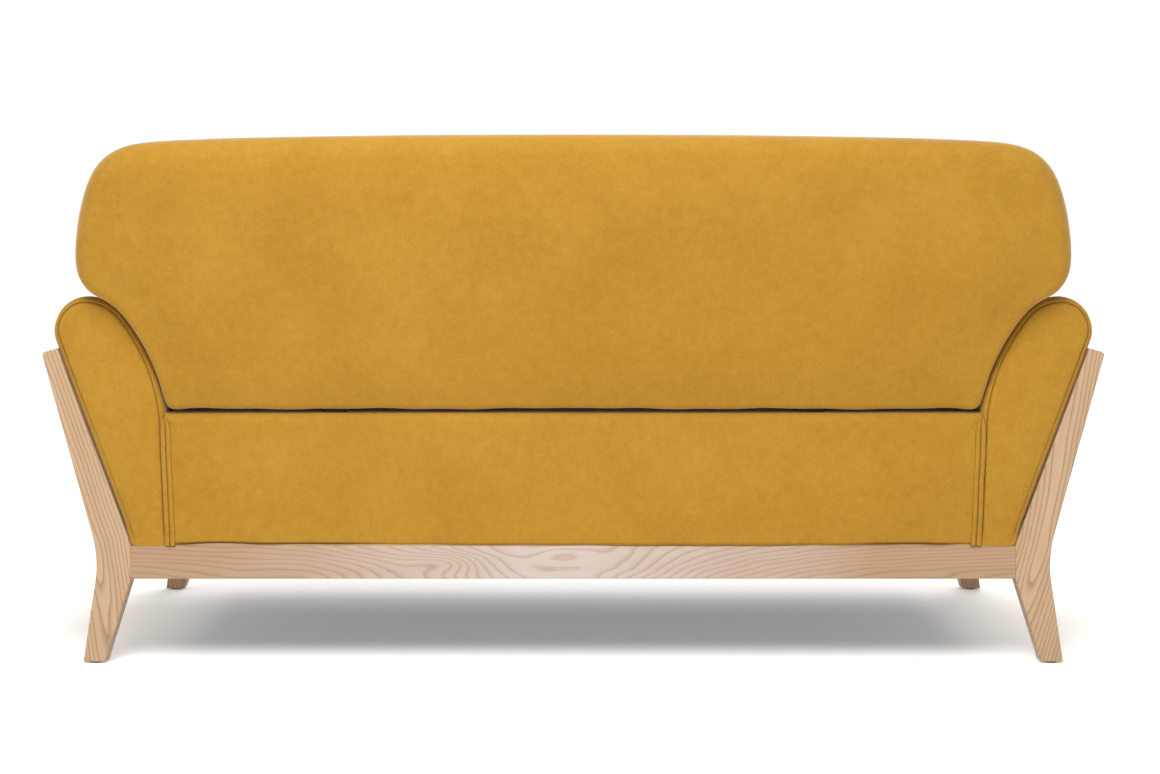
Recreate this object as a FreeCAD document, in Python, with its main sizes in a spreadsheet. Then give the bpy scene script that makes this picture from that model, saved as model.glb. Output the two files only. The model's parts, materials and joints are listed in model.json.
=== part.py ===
import FreeCAD, Part

import math
import os

import Sketcher
from FreeCAD import Vector

# Sofa on splayed ash posts, with flared arms, a winged backrest and loose seat cushions.
# Millimetres.  +X is the sitter's left, the sitter looks along -Y, +Z is up.
# The origin is on the floor, under the middle of the whole sofa.

SIZES = (
    ("overall_depth", 790, "from the front of the cushions to the back of the backrest"),
    ("overall_height", 880, "top of the backrest"),
    ("frame_depth", 688, "outer faces of the front and rear posts"),
    ("post_span", 1474, "between the left and right posts, along the rails"),
    ("post_thick", 36, "posts, front to back"),
    ("post_top", 525, "top of the posts"),
    ("post_tip", 26, "width of a post at its top"),
    ("post_tip_drop", 7, "how much lower the outer corner of a post's top is"),
    ("post_tip_radius", 6, "rounding of that corner"),
    ("foot_inset", 43, "from the rail's end out to the foot's inner corner"),
    ("foot_width", 36, "width of a foot"),
    ("knee_width", 54, "width of a post at its knee"),
    ("knee_height", 175, "height of the knee"),
    ("knee_radius", 195, "outside curve of the knee"),
    ("glide_thick", 3, "felt glides"),
    ("glide_radius", 12, "felt glides"),
    ("rail_low", 141, "underside of the rails"),
    ("rail_height", 55, "all rails"),
    ("rail_thick", 25, "all rails"),
    ("wood_ease", 2, "rounding of the visible wood edges"),
    ("dowel_radius", 5, "dowels between posts and rails"),
    ("dowel_long", 60, "dowels between posts and rails"),
    ("dowel_edge", 16, "from the rail's faces to a dowel's middle"),
    ("stud_radius", 4, "double-ended studs between arms and posts"),
    ("stud_long", 64, "double-ended studs between arms and posts"),
    ("stud_in_post", 16, "depth of a stud in its post"),
    ("stud_low", 265, "height of the lower stud"),
    ("stud_high", 405, "height of the upper stud"),
    ("block_leg", 60, "short sides of the corner blocks"),
    ("arm_flare", 20.5, "outward lean of an arm's outer side, degrees"),
    ("arm_top", 612, "top of the arms"),
    ("crown_radius", 55.5, "outer shoulder of an arm"),
    ("shoulder_radius", 79, "inner shoulder of an arm"),
    ("cheek_radius", 334, "curve from the shoulder down to the seat side"),
    ("arm_foot_wide", 66, "width of an arm at the rails"),
    ("seat_side_lean", 2.5, "lean of an arm's seat side, degrees"),
    ("arm_pad", 12, "foam over the arm frames"),
    ("arm_board", 25, "profile boards at the arm ends"),
    ("arm_rail_wide", 40, "top rail in an arm"),
    ("arm_rail_high", 28, "top rail in an arm"),
    ("arm_foot_high", 40, "bottom rail in an arm"),
    ("cloth", 2, "upholstery fabric with its backing"),
    ("welt_inset", 7, "from an arm's outline to its welt"),
    ("welt_wide", 3.5, "welts on the arm ends"),
    ("welt_proud", 2.2, "welts on the arm ends"),
    ("band_half", 9, "half the width of the topstitched bands"),
    ("band_proud", 1.2, "topstitched bands"),
    ("band_top", 392, "top of the topstitched bands"),
    ("board_thick", 18, "plywood of the seat base"),
    ("deck_high", 301, "top of the seat deck"),
    ("deck_foam_thick", 25, "foam under the deck cloth"),
    ("web_thick", 2, "elastic webbing"),
    ("web_wide", 50, "elastic webbing"),
    ("ledge_high", 417, "top of the ledge that carries the backrest"),
    ("ledge_deep", 152, "depth of that ledge"),
    ("ledge_round", 13, "rounding of the rear board's top edge, under the cloth"),
    ("cleat_high", 30, "cleat for the rear ends of the webbing"),
    ("cleat_thick", 20, "cleat for the rear ends of the webbing"),
    ("back_low", 425, "underside of the backrest"),
    ("back_lean", 10.7, "rearward lean of the backrest, degrees"),
    ("back_thick_low", 160, "backrest at its foot"),
    ("back_thick_high", 130, "backrest at its top"),
    ("back_foot_in_arm", 21, "how far the backrest's foot outline runs into an arm, which cuts it"),
    ("wing_start_in", 13, "where the wings leave the arms, inboard of the crown's middle"),
    ("wing_start_drop", 14, "the same place, below the top of the arms"),
    ("wing_out", 10, "widest place of the wings, outboard of the crown's middle"),
    ("wing_rise", 78, "the same place, above the top of the arms"),
    ("shoulder_in", 1, "top corners before they are rounded, inboard of the crown's middle"),
    ("corner_radius", 90, "rounding of the top corners, seen from behind"),
    ("corner_limit", 0.9, "most that rounding may be, as a share of the wings' upper sides"),
    ("top_roll", 38, "rounding of the backrest's top, seen from the side"),
    ("arm_gap", 2.5, "gap between the backrest and the arms"),
    ("rear_pad_thick", 24, "foam behind the backrest frame"),
    ("stile_thick", 30, "backrest frame, front to back"),
    ("stile_wide", 50, "backrest frame members"),
    ("back_frame_in", 24, "from the arms' seat side in to the backrest frame"),
    ("back_frame_foot", 12, "from the backrest's underside up to its frame"),
    ("back_frame_margin", 42, "from the backrest's top down to its frame"),
    ("plate_thick", 4, "slide-in bracket plates"),
    ("plate_wide", 40, "slide-in bracket plates"),
    ("plate_half_span", 400, "from the middle of the sofa to a bracket"),
    ("plate_up", 110, "bracket plate above the backrest's foot"),
    ("plate_down", 90, "bracket plate below the backrest's foot"),
    ("plate_play", 0.4, "clearance round a plate in its socket"),
    ("socket_wall", 4, "front wall of a bracket socket"),
    ("socket_side", 14, "sides of a bracket socket, which take its screws"),
    ("socket_high", 70, "height of a bracket socket"),
    ("screw_radius", 2.5, "bracket screws"),
    ("screw_long", 20, "bracket screws"),
    ("screw_edge", 14, "from the backrest rail's edges to the bracket screws"),
    ("cushion_thick", 130, "seat cushions"),
    ("cushion_ease", 22, "rounded edges of the seat cushions"),
    ("cushion_gap", 1, "gap beside, between and behind the cushions"),
    ("cushion_lift_gap", 0.5, "gap under the cushions"),
    ("dust_thick", 1.5, "dust cloth under the base"),
)

doc = FreeCAD.newDocument("sofa")
sheet = doc.addObject("Spreadsheet::Sheet", "Sizes")
for row, (alias, number, meaning) in enumerate(SIZES, start=1):
    sheet.set(f"A{row}", str(number))
    sheet.setAlias(f"A{row}", alias)
    sheet.set(f"B{row}", meaning)
doc.recompute()


class Size:
    """A length or an angle: its number now, and the sheet expression that gives it."""

    def __init__(self, value, text):
        self.value = value
        self.text = text

    def __add__(self, other):
        other = as_size(other)
        return Size(self.value + other.value, f"({self.text} + {other.text})")

    def __sub__(self, other):
        other = as_size(other)
        return Size(self.value - other.value, f"({self.text} - {other.text})")

    def __mul__(self, other):
        other = as_size(other)
        return Size(self.value * other.value, f"({self.text} * {other.text})")

    def __truediv__(self, other):
        other = as_size(other)
        return Size(self.value / other.value, f"({self.text} / {other.text})")

    def __neg__(self):
        return Size(-self.value, f"(0 - {self.text})")

    def __radd__(self, other):
        return as_size(other) + self

    def __rsub__(self, other):
        return as_size(other) - self

    def __rmul__(self, other):
        return as_size(other) * self


def as_size(thing):
    """A plain number taken as a size."""
    if isinstance(thing, Size):
        return thing
    return Size(float(thing), f"({float(thing)})")


def cell(alias):
    """One driving size from the sheet."""
    return Size(float(sheet.get(alias)), f"Sizes.{alias}")


def sine(angle):
    return Size(math.sin(math.radians(angle.value)), f"sin({angle.text})")


def cosine(angle):
    return Size(math.cos(math.radians(angle.value)), f"cos({angle.text})")


def tangent(angle):
    return Size(math.tan(math.radians(angle.value)), f"tan({angle.text})")


def smaller(one, other):
    return Size(min(one.value, other.value), f"min({one.text}; {other.text})")


def root(size):
    return Size(math.sqrt(size.value), f"sqrt({size.text})")


places = doc.addObject("App::FeaturePython", "Places")


def named(name, size):
    """A size worked out once and kept under a name of its own, which follows the sheet."""
    places.addProperty("App::PropertyFloat", name)
    places.setExpression(name, size.text)
    return Size(size.value, f"Places.{name}")


# ---------------------------------------------------------------- places worked out from the sizes

flare = cell("arm_flare")
side_lean = cell("seat_side_lean")
back_lean = cell("back_lean")
cloth = cell("cloth")

rail_top = cell("rail_low") + cell("rail_height")
rail_end = cell("post_span") / 2
seat_side = rail_end - cell("arm_foot_wide")

# The backrest's rear face starts at back_y and leans rearwards to the overall depth at its rolled top.
back_y = named(
    "back_y",
    cell("overall_depth") / 2
    - (cell("overall_height") - cell("top_roll") - cell("back_low")) * tangent(back_lean)
    + cell("top_roll") / cosine(back_lean)
    - cell("top_roll"),
)
frame_rear = back_y
frame_front = frame_rear - cell("frame_depth")
ledge_front = frame_rear - cell("ledge_deep")
cushion_front = 0 - cell("overall_depth") / 2


def side_x(height):
    """Where an arm's straight outer side is at a height."""
    return rail_end + (height - rail_top) * tangent(flare)


def seat_x(height):
    """Where an arm's straight seat side is at a height."""
    return seat_side + (height - rail_top) * tangent(side_lean)


def back_face(height):
    """Where the backrest's rear face is at a height."""
    return back_y + (height - cell("back_low")) * tangent(back_lean)


# ---------------------------------------------------------------- ways of making a piece

parts = {}


def keep(piece, label):
    """Name a finished piece, which names its file too."""
    piece.Label = label
    parts[label] = piece
    return piece


def bind_place(piece, x, y, z):
    """Put a piece at a place worked out from the sheet."""
    piece.setExpression("Placement.Base.x", as_size(x).text)
    piece.setExpression("Placement.Base.y", as_size(y).text)
    piece.setExpression("Placement.Base.z", as_size(z).text)


def box(name, x_span, y_span, z_span):
    """A plain block between two places on each axis."""
    block = doc.addObject("Part::Box", name)
    spans = (x_span, y_span, z_span)
    for side, (low, high) in zip(("Length", "Width", "Height"), spans):
        block.setExpression(side, (as_size(high) - low).text)
    bind_place(block, x_span[0], y_span[0], z_span[0])
    return block


def rod(name, radius, length, start, axis):
    """A round rod from a start point along an axis."""
    bar = doc.addObject("Part::Cylinder", name)
    bar.setExpression("Radius", radius.text)
    bar.setExpression("Height", length.text)
    bar.Placement = FreeCAD.Placement(Vector(0, 0, 0), FreeCAD.Rotation(Vector(0, 0, 1), axis))
    bind_place(bar, *start)
    return bar


def group(name, pieces):
    """Several separate solids of one kind."""
    bundle = doc.addObject("Part::Compound", name)
    bundle.Links = pieces
    return bundle


def cut(name, base, tools):
    """A piece with the room for other pieces taken out of it."""
    for number, tool in enumerate(tools):
        result = doc.addObject("Part::Cut", f"{name}_{number}")
        result.Base = base
        result.Tool = tool
        base = result
    return base


def common(name, base, tool):
    """What two shapes share."""
    shared = doc.addObject("Part::Common", name)
    shared.Base = base
    shared.Tool = tool
    return shared


def mirrored(name, source):
    """The same piece on the sofa's other side."""
    twin = doc.addObject("Part::Mirroring", name)
    twin.Source = source
    twin.Normal = (1, 0, 0)
    twin.Base = (0, 0, 0)
    return twin


def plane_of(body, role):
    """One of a body's own origin planes."""
    return next(plane for plane in body.Origin.OriginFeatures if plane.Role == role)


def new_sketch(body, role):
    """An empty sketch on one of a body's own planes."""
    sketch = body.newObject("Sketcher::SketchObject", f"{body.Name}_sketch")
    sketch.AttachmentSupport = (plane_of(body, role), [""])
    sketch.MapMode = "FlatFace"
    return sketch


def bind_constraint(sketch, kind, targets, size):
    """Add a sized constraint that follows the sheet."""
    index = sketch.addConstraint(Sketcher.Constraint(kind, *targets, size.value))
    sketch.setExpression(f"Constraints[{index}]", size.text)


def polygon(sketch, corners, arcs=None):
    """Outline through corners placed from the sheet, straight or as arcs.

    Arcs are given by the number of their first corner, as a middle and a radius, and run anticlockwise.
    """
    arcs = arcs or {}
    points = [Vector(as_size(x).value, as_size(y).value, 0) for x, y in corners]
    count = len(points)
    for number in range(count):
        start, end = points[number], points[(number + 1) % count]
        if number in arcs:
            middle = Vector(arcs[number][0].value, arcs[number][1].value, 0)
            circle = Part.Circle(middle, Vector(0, 0, 1), arcs[number][2].value)
            turn = [math.atan2((end_point - middle).y, (end_point - middle).x) for end_point in (start, end)]
            sketch.addGeometry(Part.ArcOfCircle(circle, *turn))
        else:
            sketch.addGeometry(Part.LineSegment(start, end))
    for number in range(count):
        sketch.addConstraint(Sketcher.Constraint("Coincident", number, 2, (number + 1) % count, 1))
    for number, (x, y) in enumerate(corners):
        for kind, size in (("DistanceX", as_size(x)), ("DistanceY", as_size(y))):
            bind_constraint(sketch, kind, (-1, 1, number, 1), size)
    for number, (_, _, radius) in arcs.items():
        bind_constraint(sketch, "Radius", (number,), radius)


# Middles of the three arcs that make an arm's crown.
# The cheek's arc touches the seat side and the shoulder's arc.
crown_rise = cell("arm_top") - cell("crown_radius") - rail_top
crown_x = named("crown_x", rail_end + (crown_rise * sine(flare) - cell("crown_radius")) / cosine(flare))
crown_z = named("crown_z", cell("arm_top") - cell("crown_radius"))
shoulder_z = named("shoulder_z", cell("arm_top") - cell("shoulder_radius"))
cheek_foot_x = named("cheek_foot_x", seat_side + cell("cheek_radius") * cosine(side_lean))
cheek_foot_z = named("cheek_foot_z", rail_top - cell("cheek_radius") * sine(side_lean))
to_foot_x = cheek_foot_x - crown_x
to_foot_z = cheek_foot_z - shoulder_z
between_arcs = cell("cheek_radius") - cell("shoulder_radius")
foot_along = named("foot_along", to_foot_x * sine(side_lean) + to_foot_z * cosine(side_lean))
foot_excess = named(
    "foot_excess",
    to_foot_x * to_foot_x + to_foot_z * to_foot_z - between_arcs * between_arcs,
)
cheek_slide = named("cheek_slide", -foot_along - root(foot_along * foot_along - foot_excess))
cheek_x = named("cheek_x", cheek_foot_x + cheek_slide * sine(side_lean))
cheek_z = named("cheek_z", cheek_foot_z + cheek_slide * cosine(side_lean))


def arm_outline(sketch, inset):
    """Arm section: a leaning outer side, a crown of three tangent arcs and a leaning seat side.

    A parallel section, smaller by the inset, has the same arc middles and smaller radii.
    """
    inset = as_size(inset)
    crown = cell("crown_radius") - inset
    shoulder = cell("shoulder_radius") - inset
    cheek = cell("cheek_radius") - inset
    corners = (
        (seat_side + inset / cosine(side_lean), rail_top),
        (rail_end - inset / cosine(flare), rail_top),
        (crown_x + crown * cosine(flare), crown_z - crown * sine(flare)),
        (crown_x, cell("arm_top") - inset),
        (
            crown_x + shoulder * (crown_x - cheek_x) / between_arcs,
            shoulder_z + shoulder * (shoulder_z - cheek_z) / between_arcs,
        ),
        (cheek_x - cheek * cosine(side_lean), cheek_z + cheek * sine(side_lean)),
    )
    arcs = {
        2: (crown_x, crown_z, crown),
        3: (crown_x, shoulder_z, shoulder),
        4: (cheek_x, cheek_z, cheek),
    }
    polygon(sketch, corners, arcs)


def padded_body(name, role, draw, length, offset):
    """A body whose sketch, drawn on an origin plane, is padded by a length.

    On XZ_Plane the pad runs towards -Y from the offset; on YZ_Plane it runs towards +X.
    """
    body = doc.addObject("PartDesign::Body", name)
    sketch = new_sketch(body, role)
    draw(sketch)
    pad = body.newObject("PartDesign::Pad", f"{name}_pad")
    pad.Profile = sketch
    pad.setExpression("Length", length.text)
    axis = {"XZ_Plane": "y", "YZ_Plane": "x", "XY_Plane": "z"}[role]
    body.setExpression(f"Placement.Base.{axis}", as_size(offset).text)
    return body


def front_body(name, draw, y_span):
    """A body drawn as seen from the front, between two places on Y."""
    low, high = as_size(y_span[0]), as_size(y_span[1])
    return padded_body(name, "XZ_Plane", draw, high - low, high)


def side_body(name, corners, x_span, arcs=None):
    """A body drawn as seen from the side, between two places on X."""
    low, high = as_size(x_span[0]), as_size(x_span[1])
    return padded_body(name, "YZ_Plane", lambda sketch: polygon(sketch, corners, arcs), high - low, low)


def edges_where(shape, wanted):
    """Names of the edges that a test accepts."""
    return [f"Edge{number}" for number, edge in enumerate(shape.Edges, start=1) if wanted(edge)]


def round_edges(body, wanted, radius):
    """Round the edges of a body's last feature that a test accepts."""
    doc.recompute()
    base = body.Tip
    fillet = body.newObject("PartDesign::Fillet", f"{body.Name}_round")
    fillet.Base = (base, edges_where(base.Shape, wanted))
    fillet.setExpression("Radius", radius.text)
    body.Tip = fillet


def lies_at(edge, axis, place):
    """Whether a whole edge lies at one place on an axis, in its body's own frame."""
    bounds = edge.BoundBox
    low, high = getattr(bounds, f"{axis}Min"), getattr(bounds, f"{axis}Max")
    return abs(low - place) < 0.01 and abs(high - place) < 0.01


# ---------------------------------------------------------------- posts

stud_place = frame_rear - cell("post_thick") / 2
tip_x = side_x(cell("post_top"))


def post_outline(sketch):
    """A boomerang: splayed foot, knee at the rail, upper arm along the flared side."""
    foot_x = rail_end + cell("foot_inset")
    polygon(
        sketch,
        (
            (foot_x, cell("glide_thick")),
            (foot_x + cell("foot_width"), cell("glide_thick")),
            (rail_end + cell("knee_width"), cell("knee_height")),
            (tip_x + cell("post_tip"), cell("post_top") - cell("post_tip_drop")),
            (tip_x, cell("post_top")),
            (rail_end, rail_top),
            (rail_end, cell("rail_low")),
        ),
    )


def make_post(name, y_span):
    """One solid post with its knee curved and its edges eased."""
    post = front_body(name, post_outline, y_span)
    knee_x = (rail_end + cell("knee_width")).value
    knee_z = cell("knee_height").value
    round_edges(
        post,
        lambda edge: lies_at(edge, "X", knee_x) and lies_at(edge, "Z", knee_z),
        cell("knee_radius"),
    )
    round_edges(
        post,
        lambda edge: lies_at(edge, "X", (tip_x + cell("post_tip")).value),
        cell("post_tip_radius"),
    )
    thick = cell("post_thick").value
    round_edges(
        post,
        lambda edge: lies_at(edge, "Y", 0) or lies_at(edge, "Y", -thick),
        cell("wood_ease"),
    )
    return post


post_spans = {
    "rear": (frame_rear - cell("post_thick"), frame_rear),
    "front": (frame_front, frame_front + cell("post_thick")),
}
rail_spans = {
    "rear": (frame_rear - cell("rail_thick"), frame_rear),
    "front": (frame_front, frame_front + cell("rail_thick")),
}


def dowels_at(end):
    """Two dowels through the left joint of the front or rear rail."""
    middle = (rail_spans[end][0] + rail_spans[end][1]) / 2
    start_x = rail_end - cell("dowel_long") / 2
    heights = (cell("rail_low") + cell("dowel_edge"), rail_top - cell("dowel_edge"))
    radius, length = cell("dowel_radius"), cell("dowel_long")
    return [
        rod(f"{end}_dowel_{n}", radius, length, (start_x, middle, height), Vector(1, 0, 0))
        for n, height in enumerate(heights)
    ]


def studs_at(end):
    """Two double-ended studs square to the arm's outer side, from the arm into the post."""
    middle = (post_spans[end][0] + post_spans[end][1]) / 2
    back_off = cell("stud_long") - cell("stud_in_post")
    lean = math.radians(flare.value)
    outwards = Vector(math.cos(lean), 0, -math.sin(lean))
    studs = []
    for n, height in enumerate((cell("stud_low"), cell("stud_high"))):
        start = (side_x(height) - back_off * cosine(flare), middle, height + back_off * sine(flare))
        studs.append(rod(f"{end}_stud_{n}", cell("stud_radius"), cell("stud_long"), start, outwards))
    return studs


left_dowels = {end: dowels_at(end) for end in post_spans}
left_studs = {end: studs_at(end) for end in post_spans}


def both_sides(name, pieces):
    """The left pieces and their twins on the right, as one group."""
    left = group(f"{name}_left", pieces)
    return left, mirrored(f"{name}_right", left)


dowels_left, dowels_right = both_sides("dowels", left_dowels["front"] + left_dowels["rear"])
studs_left, studs_right = both_sides("studs", left_studs["front"] + left_studs["rear"])
keep(group("dowel_set", [dowels_left, dowels_right]), "post_dowels")
keep(group("stud_set", [studs_left, studs_right]), "post_studs")

for end in post_spans:
    bare_post = make_post(f"{end}_post", post_spans[end])
    post = cut(f"{end}_post_cut", bare_post, [dowels_left, studs_left])
    keep(post, f"{end}_left_post")
    keep(mirrored(f"{end}_post_twin", post), f"{end}_right_post")

foot_middle = rail_end + cell("foot_inset") + cell("foot_width") / 2
glides = [
    rod(
        f"{end}_glide",
        cell("glide_radius"),
        cell("glide_thick"),
        (foot_middle, (post_spans[end][0] + post_spans[end][1]) / 2, 0),
        Vector(0, 0, 1),
    )
    for end in post_spans
]
keep(group("glide_set", list(both_sides("glides", glides))), "felt_glides")

# ---------------------------------------------------------------- rails, corner blocks, dust cloth

inside_rails = (frame_front + cell("rail_thick"), frame_rear - cell("rail_thick"))
side_rail_inner = rail_end - cell("rail_thick")


def make_rail(name, y_span, x_span):
    """A rail along X with its four long edges eased."""
    low, high = y_span
    corners = ((low, cell("rail_low")), (high, cell("rail_low")), (high, rail_top), (low, rail_top))
    rail = side_body(name, corners, x_span)
    long = (as_size(x_span[1]) - x_span[0]).value
    round_edges(rail, lambda edge: edge.Length > long - 1, cell("wood_ease"))
    return rail


for end in rail_spans:
    rail = make_rail(f"{end}_rail_blank", rail_spans[end], (-rail_end, rail_end))
    keep(cut(f"{end}_rail_cut", rail, [dowels_left, dowels_right]), f"{end}_rail")

rail_z = (cell("rail_low"), rail_top)
left_side_rail = box("left_side_rail_box", (side_rail_inner, rail_end), inside_rails, rail_z)
keep(left_side_rail, "left_side_rail")
keep(mirrored("right_side_rail_twin", left_side_rail), "right_side_rail")
half_bearer = cell("rail_thick") / 2
keep(box("bearer_box", (-half_bearer, half_bearer), inside_rails, rail_z), "centre_bearer")


def corner_block(name, corner_y, along):
    """A three-cornered block in the corner between a side rail and the front or rear rail."""
    body = doc.addObject("PartDesign::Body", name)
    sketch = new_sketch(body, "XY_Plane")
    leg = cell("block_leg")
    reach = corner_y + along * leg
    polygon(
        sketch,
        ((side_rail_inner, corner_y), (side_rail_inner - leg, corner_y), (side_rail_inner, reach)),
    )
    pad = body.newObject("PartDesign::Pad", f"{name}_pad")
    pad.Profile = sketch
    pad.setExpression("Length", cell("rail_height").text)
    body.setExpression("Placement.Base.z", cell("rail_low").text)
    return body


left_blocks = [
    corner_block("front_block", inside_rails[0], 1),
    corner_block("rear_block", inside_rails[1], -1),
]
keep(group("block_set", list(both_sides("blocks", left_blocks))), "corner_blocks")

dust_edge = cell("rail_thick") / 2
dust_x = rail_end - dust_edge
keep(
    box(
        "dust_box",
        (-dust_x, dust_x),
        (frame_front + dust_edge, frame_rear - dust_edge),
        (cell("rail_low") - cell("dust_thick"), cell("rail_low")),
    ),
    "dust_cloth",
)

# ---------------------------------------------------------------- arms


def arm_body(name, inset, y_span):
    """A body with the arm's section, smaller by the inset."""
    return front_body(name, lambda sketch: arm_outline(sketch, inset), y_span)


def arm_shell(name, outer_inset, inner_inset, y_span, end_wall):
    """An arm section with a smaller one cut out of it, open below; the ends keep a wall."""
    low, high = y_span
    outer = arm_body(f"{name}_outer", outer_inset, y_span)
    inner = arm_body(f"{name}_inner", inner_inset, (low + end_wall, high - end_wall))
    return cut(f"{name}_cut", outer, [inner])


arm_span = (frame_front, frame_rear)
inner_span = (frame_front + cloth, frame_rear - cloth)
frame_inset = cloth + cell("arm_pad")
board_inner = (inner_span[0] + cell("arm_board"), inner_span[1] - cell("arm_board"))

arm_cover = arm_shell("arm_cover", 0, cloth, arm_span, cloth)
arm_foam = arm_shell("arm_foam", cloth, frame_inset, inner_span, as_size(0))
rear_board = arm_body("arm_rear_board", frame_inset, (board_inner[1], inner_span[1]))
front_board = arm_body("arm_front_board", frame_inset, (inner_span[0], board_inner[0]))
half_rail = cell("arm_rail_wide") / 2
top_rail_top = cell("arm_top") - frame_inset - cell("arm_pad")
arm_top_rail = box(
    "arm_top_rail",
    (crown_x - half_rail, crown_x + half_rail),
    board_inner,
    (top_rail_top - cell("arm_rail_high"), top_rail_top),
)
arm_bottom_rail = common(
    "arm_bottom_rail",
    box(
        "arm_bottom_rail_box",
        (seat_x(rail_top + cell("arm_foot_high")) + frame_inset + 1, rail_end - frame_inset - 1),
        board_inner,
        (rail_top, rail_top + cell("arm_foot_high")),
    ),
    arm_body("arm_bottom_rail_room", frame_inset, board_inner),
)


def arm_band(name):
    """Half of it on the arm and half on the lower panel, proud of both."""
    half = cell("band_half")
    low, high = rail_top + 1, cell("band_top")
    corners = (
        (seat_x(low) - half, low),
        (seat_x(low) + half, low),
        (seat_x(high) + half, high),
        (seat_x(high) - half, high),
    )
    y_span = (frame_rear, frame_rear + cell("band_proud"))
    return front_body(name, lambda sketch: polygon(sketch, corners), y_span)


band = arm_band("band")
keep(band, "rear_left_band")
keep(mirrored("band_twin", band), "rear_right_band")

welt_outer = cell("welt_inset")
welt_inner = welt_outer + cell("welt_wide")
welt_y = {
    "rear": (frame_rear, frame_rear + cell("welt_proud")),
    "front": (frame_front - cell("welt_proud"), frame_front),
}
welts = [arm_shell(f"{end}_welt", welt_outer, welt_inner, welt_y[end], as_size(0)) for end in welt_y]
left_welts = cut("welts_cut", group("welt_pair", welts), [band])

arm_pieces = {
    "cover": cut("arm_cover_cut", arm_cover, [studs_left]),
    "foam": cut("arm_foam_cut", arm_foam, [studs_left]),
    "rear_board": cut("arm_rear_board_cut", rear_board, [studs_left]),
    "front_board": cut("arm_front_board_cut", front_board, [studs_left]),
    "top_rail": arm_top_rail,
    "bottom_rail": arm_bottom_rail,
    "welts": left_welts,
}
for kind, piece in arm_pieces.items():
    keep(piece, f"left_arm_{kind}")
    keep(mirrored(f"arm_{kind}_twin", piece), f"right_arm_{kind}")

# The room that both arms take, for what lies between them.
arm_room_left = arm_body("arm_room", 0, (frame_front - 100, frame_rear + 100))
arm_room = group("arm_rooms", [arm_room_left, mirrored("arm_room_twin", arm_room_left)])
between_arms = (-rail_end, rail_end)

# ---------------------------------------------------------------- brackets

board = cell("board_thick")
base_rear = frame_rear - cloth
half_frame = seat_x(cell("back_low")) - cell("back_frame_in")
plate_y = frame_rear - cell("rear_pad_thick")
plate_bend = cell("back_low")
plate_high = plate_bend + cell("plate_up")
plate_low = plate_bend - cell("plate_down")


def lean_line(height, offset):
    """A point in the side view, at a height and a level distance in front of the rear face."""
    return (back_face(height) - offset, height)


front_of_plate = as_size(cell("rear_pad_thick"))
behind_plate = front_of_plate - cell("plate_thick")


def plate_at(name, middle_x):
    """A flat steel plate, upright in the base and leaning in the backrest."""
    corners = (
        (frame_rear - front_of_plate, plate_low),
        (frame_rear - behind_plate, plate_low),
        (frame_rear - behind_plate, plate_bend),
        lean_line(plate_high, behind_plate),
        lean_line(plate_high, front_of_plate),
        (frame_rear - front_of_plate, plate_bend),
    )
    half = cell("plate_wide") / 2
    return side_body(name, corners, (middle_x - half, middle_x + half))


def socket_at(name, middle_x):
    """A steel channel on the rear board, open at both ends, with play round the plate."""
    play, side = cell("plate_play"), cell("socket_side")
    half = cell("plate_wide") / 2 + play
    y_low = plate_y - play
    y_high = plate_y + cell("plate_thick") + play
    block = box(
        f"{name}_block",
        (middle_x - half - side, middle_x + half + side),
        (y_low - cell("socket_wall"), base_rear - board),
        (socket_top - cell("socket_high"), socket_top),
    )
    slot = box(
        f"{name}_slot",
        (middle_x - half, middle_x + half),
        (y_low, y_high),
        (socket_top - cell("socket_high") - 1, socket_top + 1),
    )
    return cut(f"{name}_cut", block, [slot])


plate_x = cell("plate_half_span")
socket_top = cell("ledge_high") - cloth - board - 1
frame_low = cell("back_low") + cell("back_frame_foot")
wide = cell("stile_wide")


def bracket_screws():
    """Two screws from the plate into the backrest's bottom rail, two from the socket into the rear board."""
    radius, length = cell("screw_radius"), cell("screw_long")
    lean = math.radians(back_lean.value)
    into_back = Vector(0, -math.cos(lean), math.sin(lean))
    screws = []
    heights = (frame_low + cell("screw_edge"), frame_low + wide - cell("screw_edge"))
    for n, height in enumerate(heights):
        start = (plate_x, *lean_line(height, behind_plate))
        screws.append(rod(f"plate_screw_{n}", radius, length, start, into_back))
    side_middle = cell("plate_wide") / 2 + cell("plate_play") + cell("socket_side") / 2
    socket_face = plate_y - cell("plate_play") - cell("socket_wall")
    socket_middle = socket_top - cell("socket_high") / 2
    for n, spot in enumerate((plate_x - side_middle, plate_x + side_middle)):
        start = (spot, socket_face, socket_middle)
        screws.append(rod(f"socket_screw_{n}", radius, length, start, Vector(0, 1, 0)))
    return screws


screws = keep(group("screw_set", list(both_sides("screws", bracket_screws()))), "bracket_screws")
bare_plates = group("plate_set", list(both_sides("plates", [plate_at("plate", plate_x)])))
bare_sockets = group("socket_set", list(both_sides("sockets", [socket_at("socket", plate_x)])))
keep(cut("plates_cut", bare_plates, [screws]), "back_bracket_plates")
keep(cut("sockets_cut", bare_sockets, [screws]), "back_bracket_sockets")

slot_half = cell("plate_wide") / 2 + 2 * cell("plate_play")
slot_box = box(
    "plate_slot",
    (plate_x - slot_half, plate_x + slot_half),
    (plate_y - 2 * cell("plate_play"), plate_y + cell("plate_thick") + 2 * cell("plate_play")),
    (plate_low, cell("back_low")),
)
plate_slots = group("plate_slots", list(both_sides("slots", [slot_box])))

# ---------------------------------------------------------------- seat base

base_front = frame_front + cloth
deck_foam_low = cell("deck_high") - cloth - cell("deck_foam_thick")
web_low = deck_foam_low - 2 * cell("web_thick")
side_board_outer = seat_side - 1
side_board_inner = side_board_outer - board
front_board_top = web_low + cell("web_thick")
ledge_board_front = ledge_front + cloth
ledge_under = cell("ledge_high") - cloth - board

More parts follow.
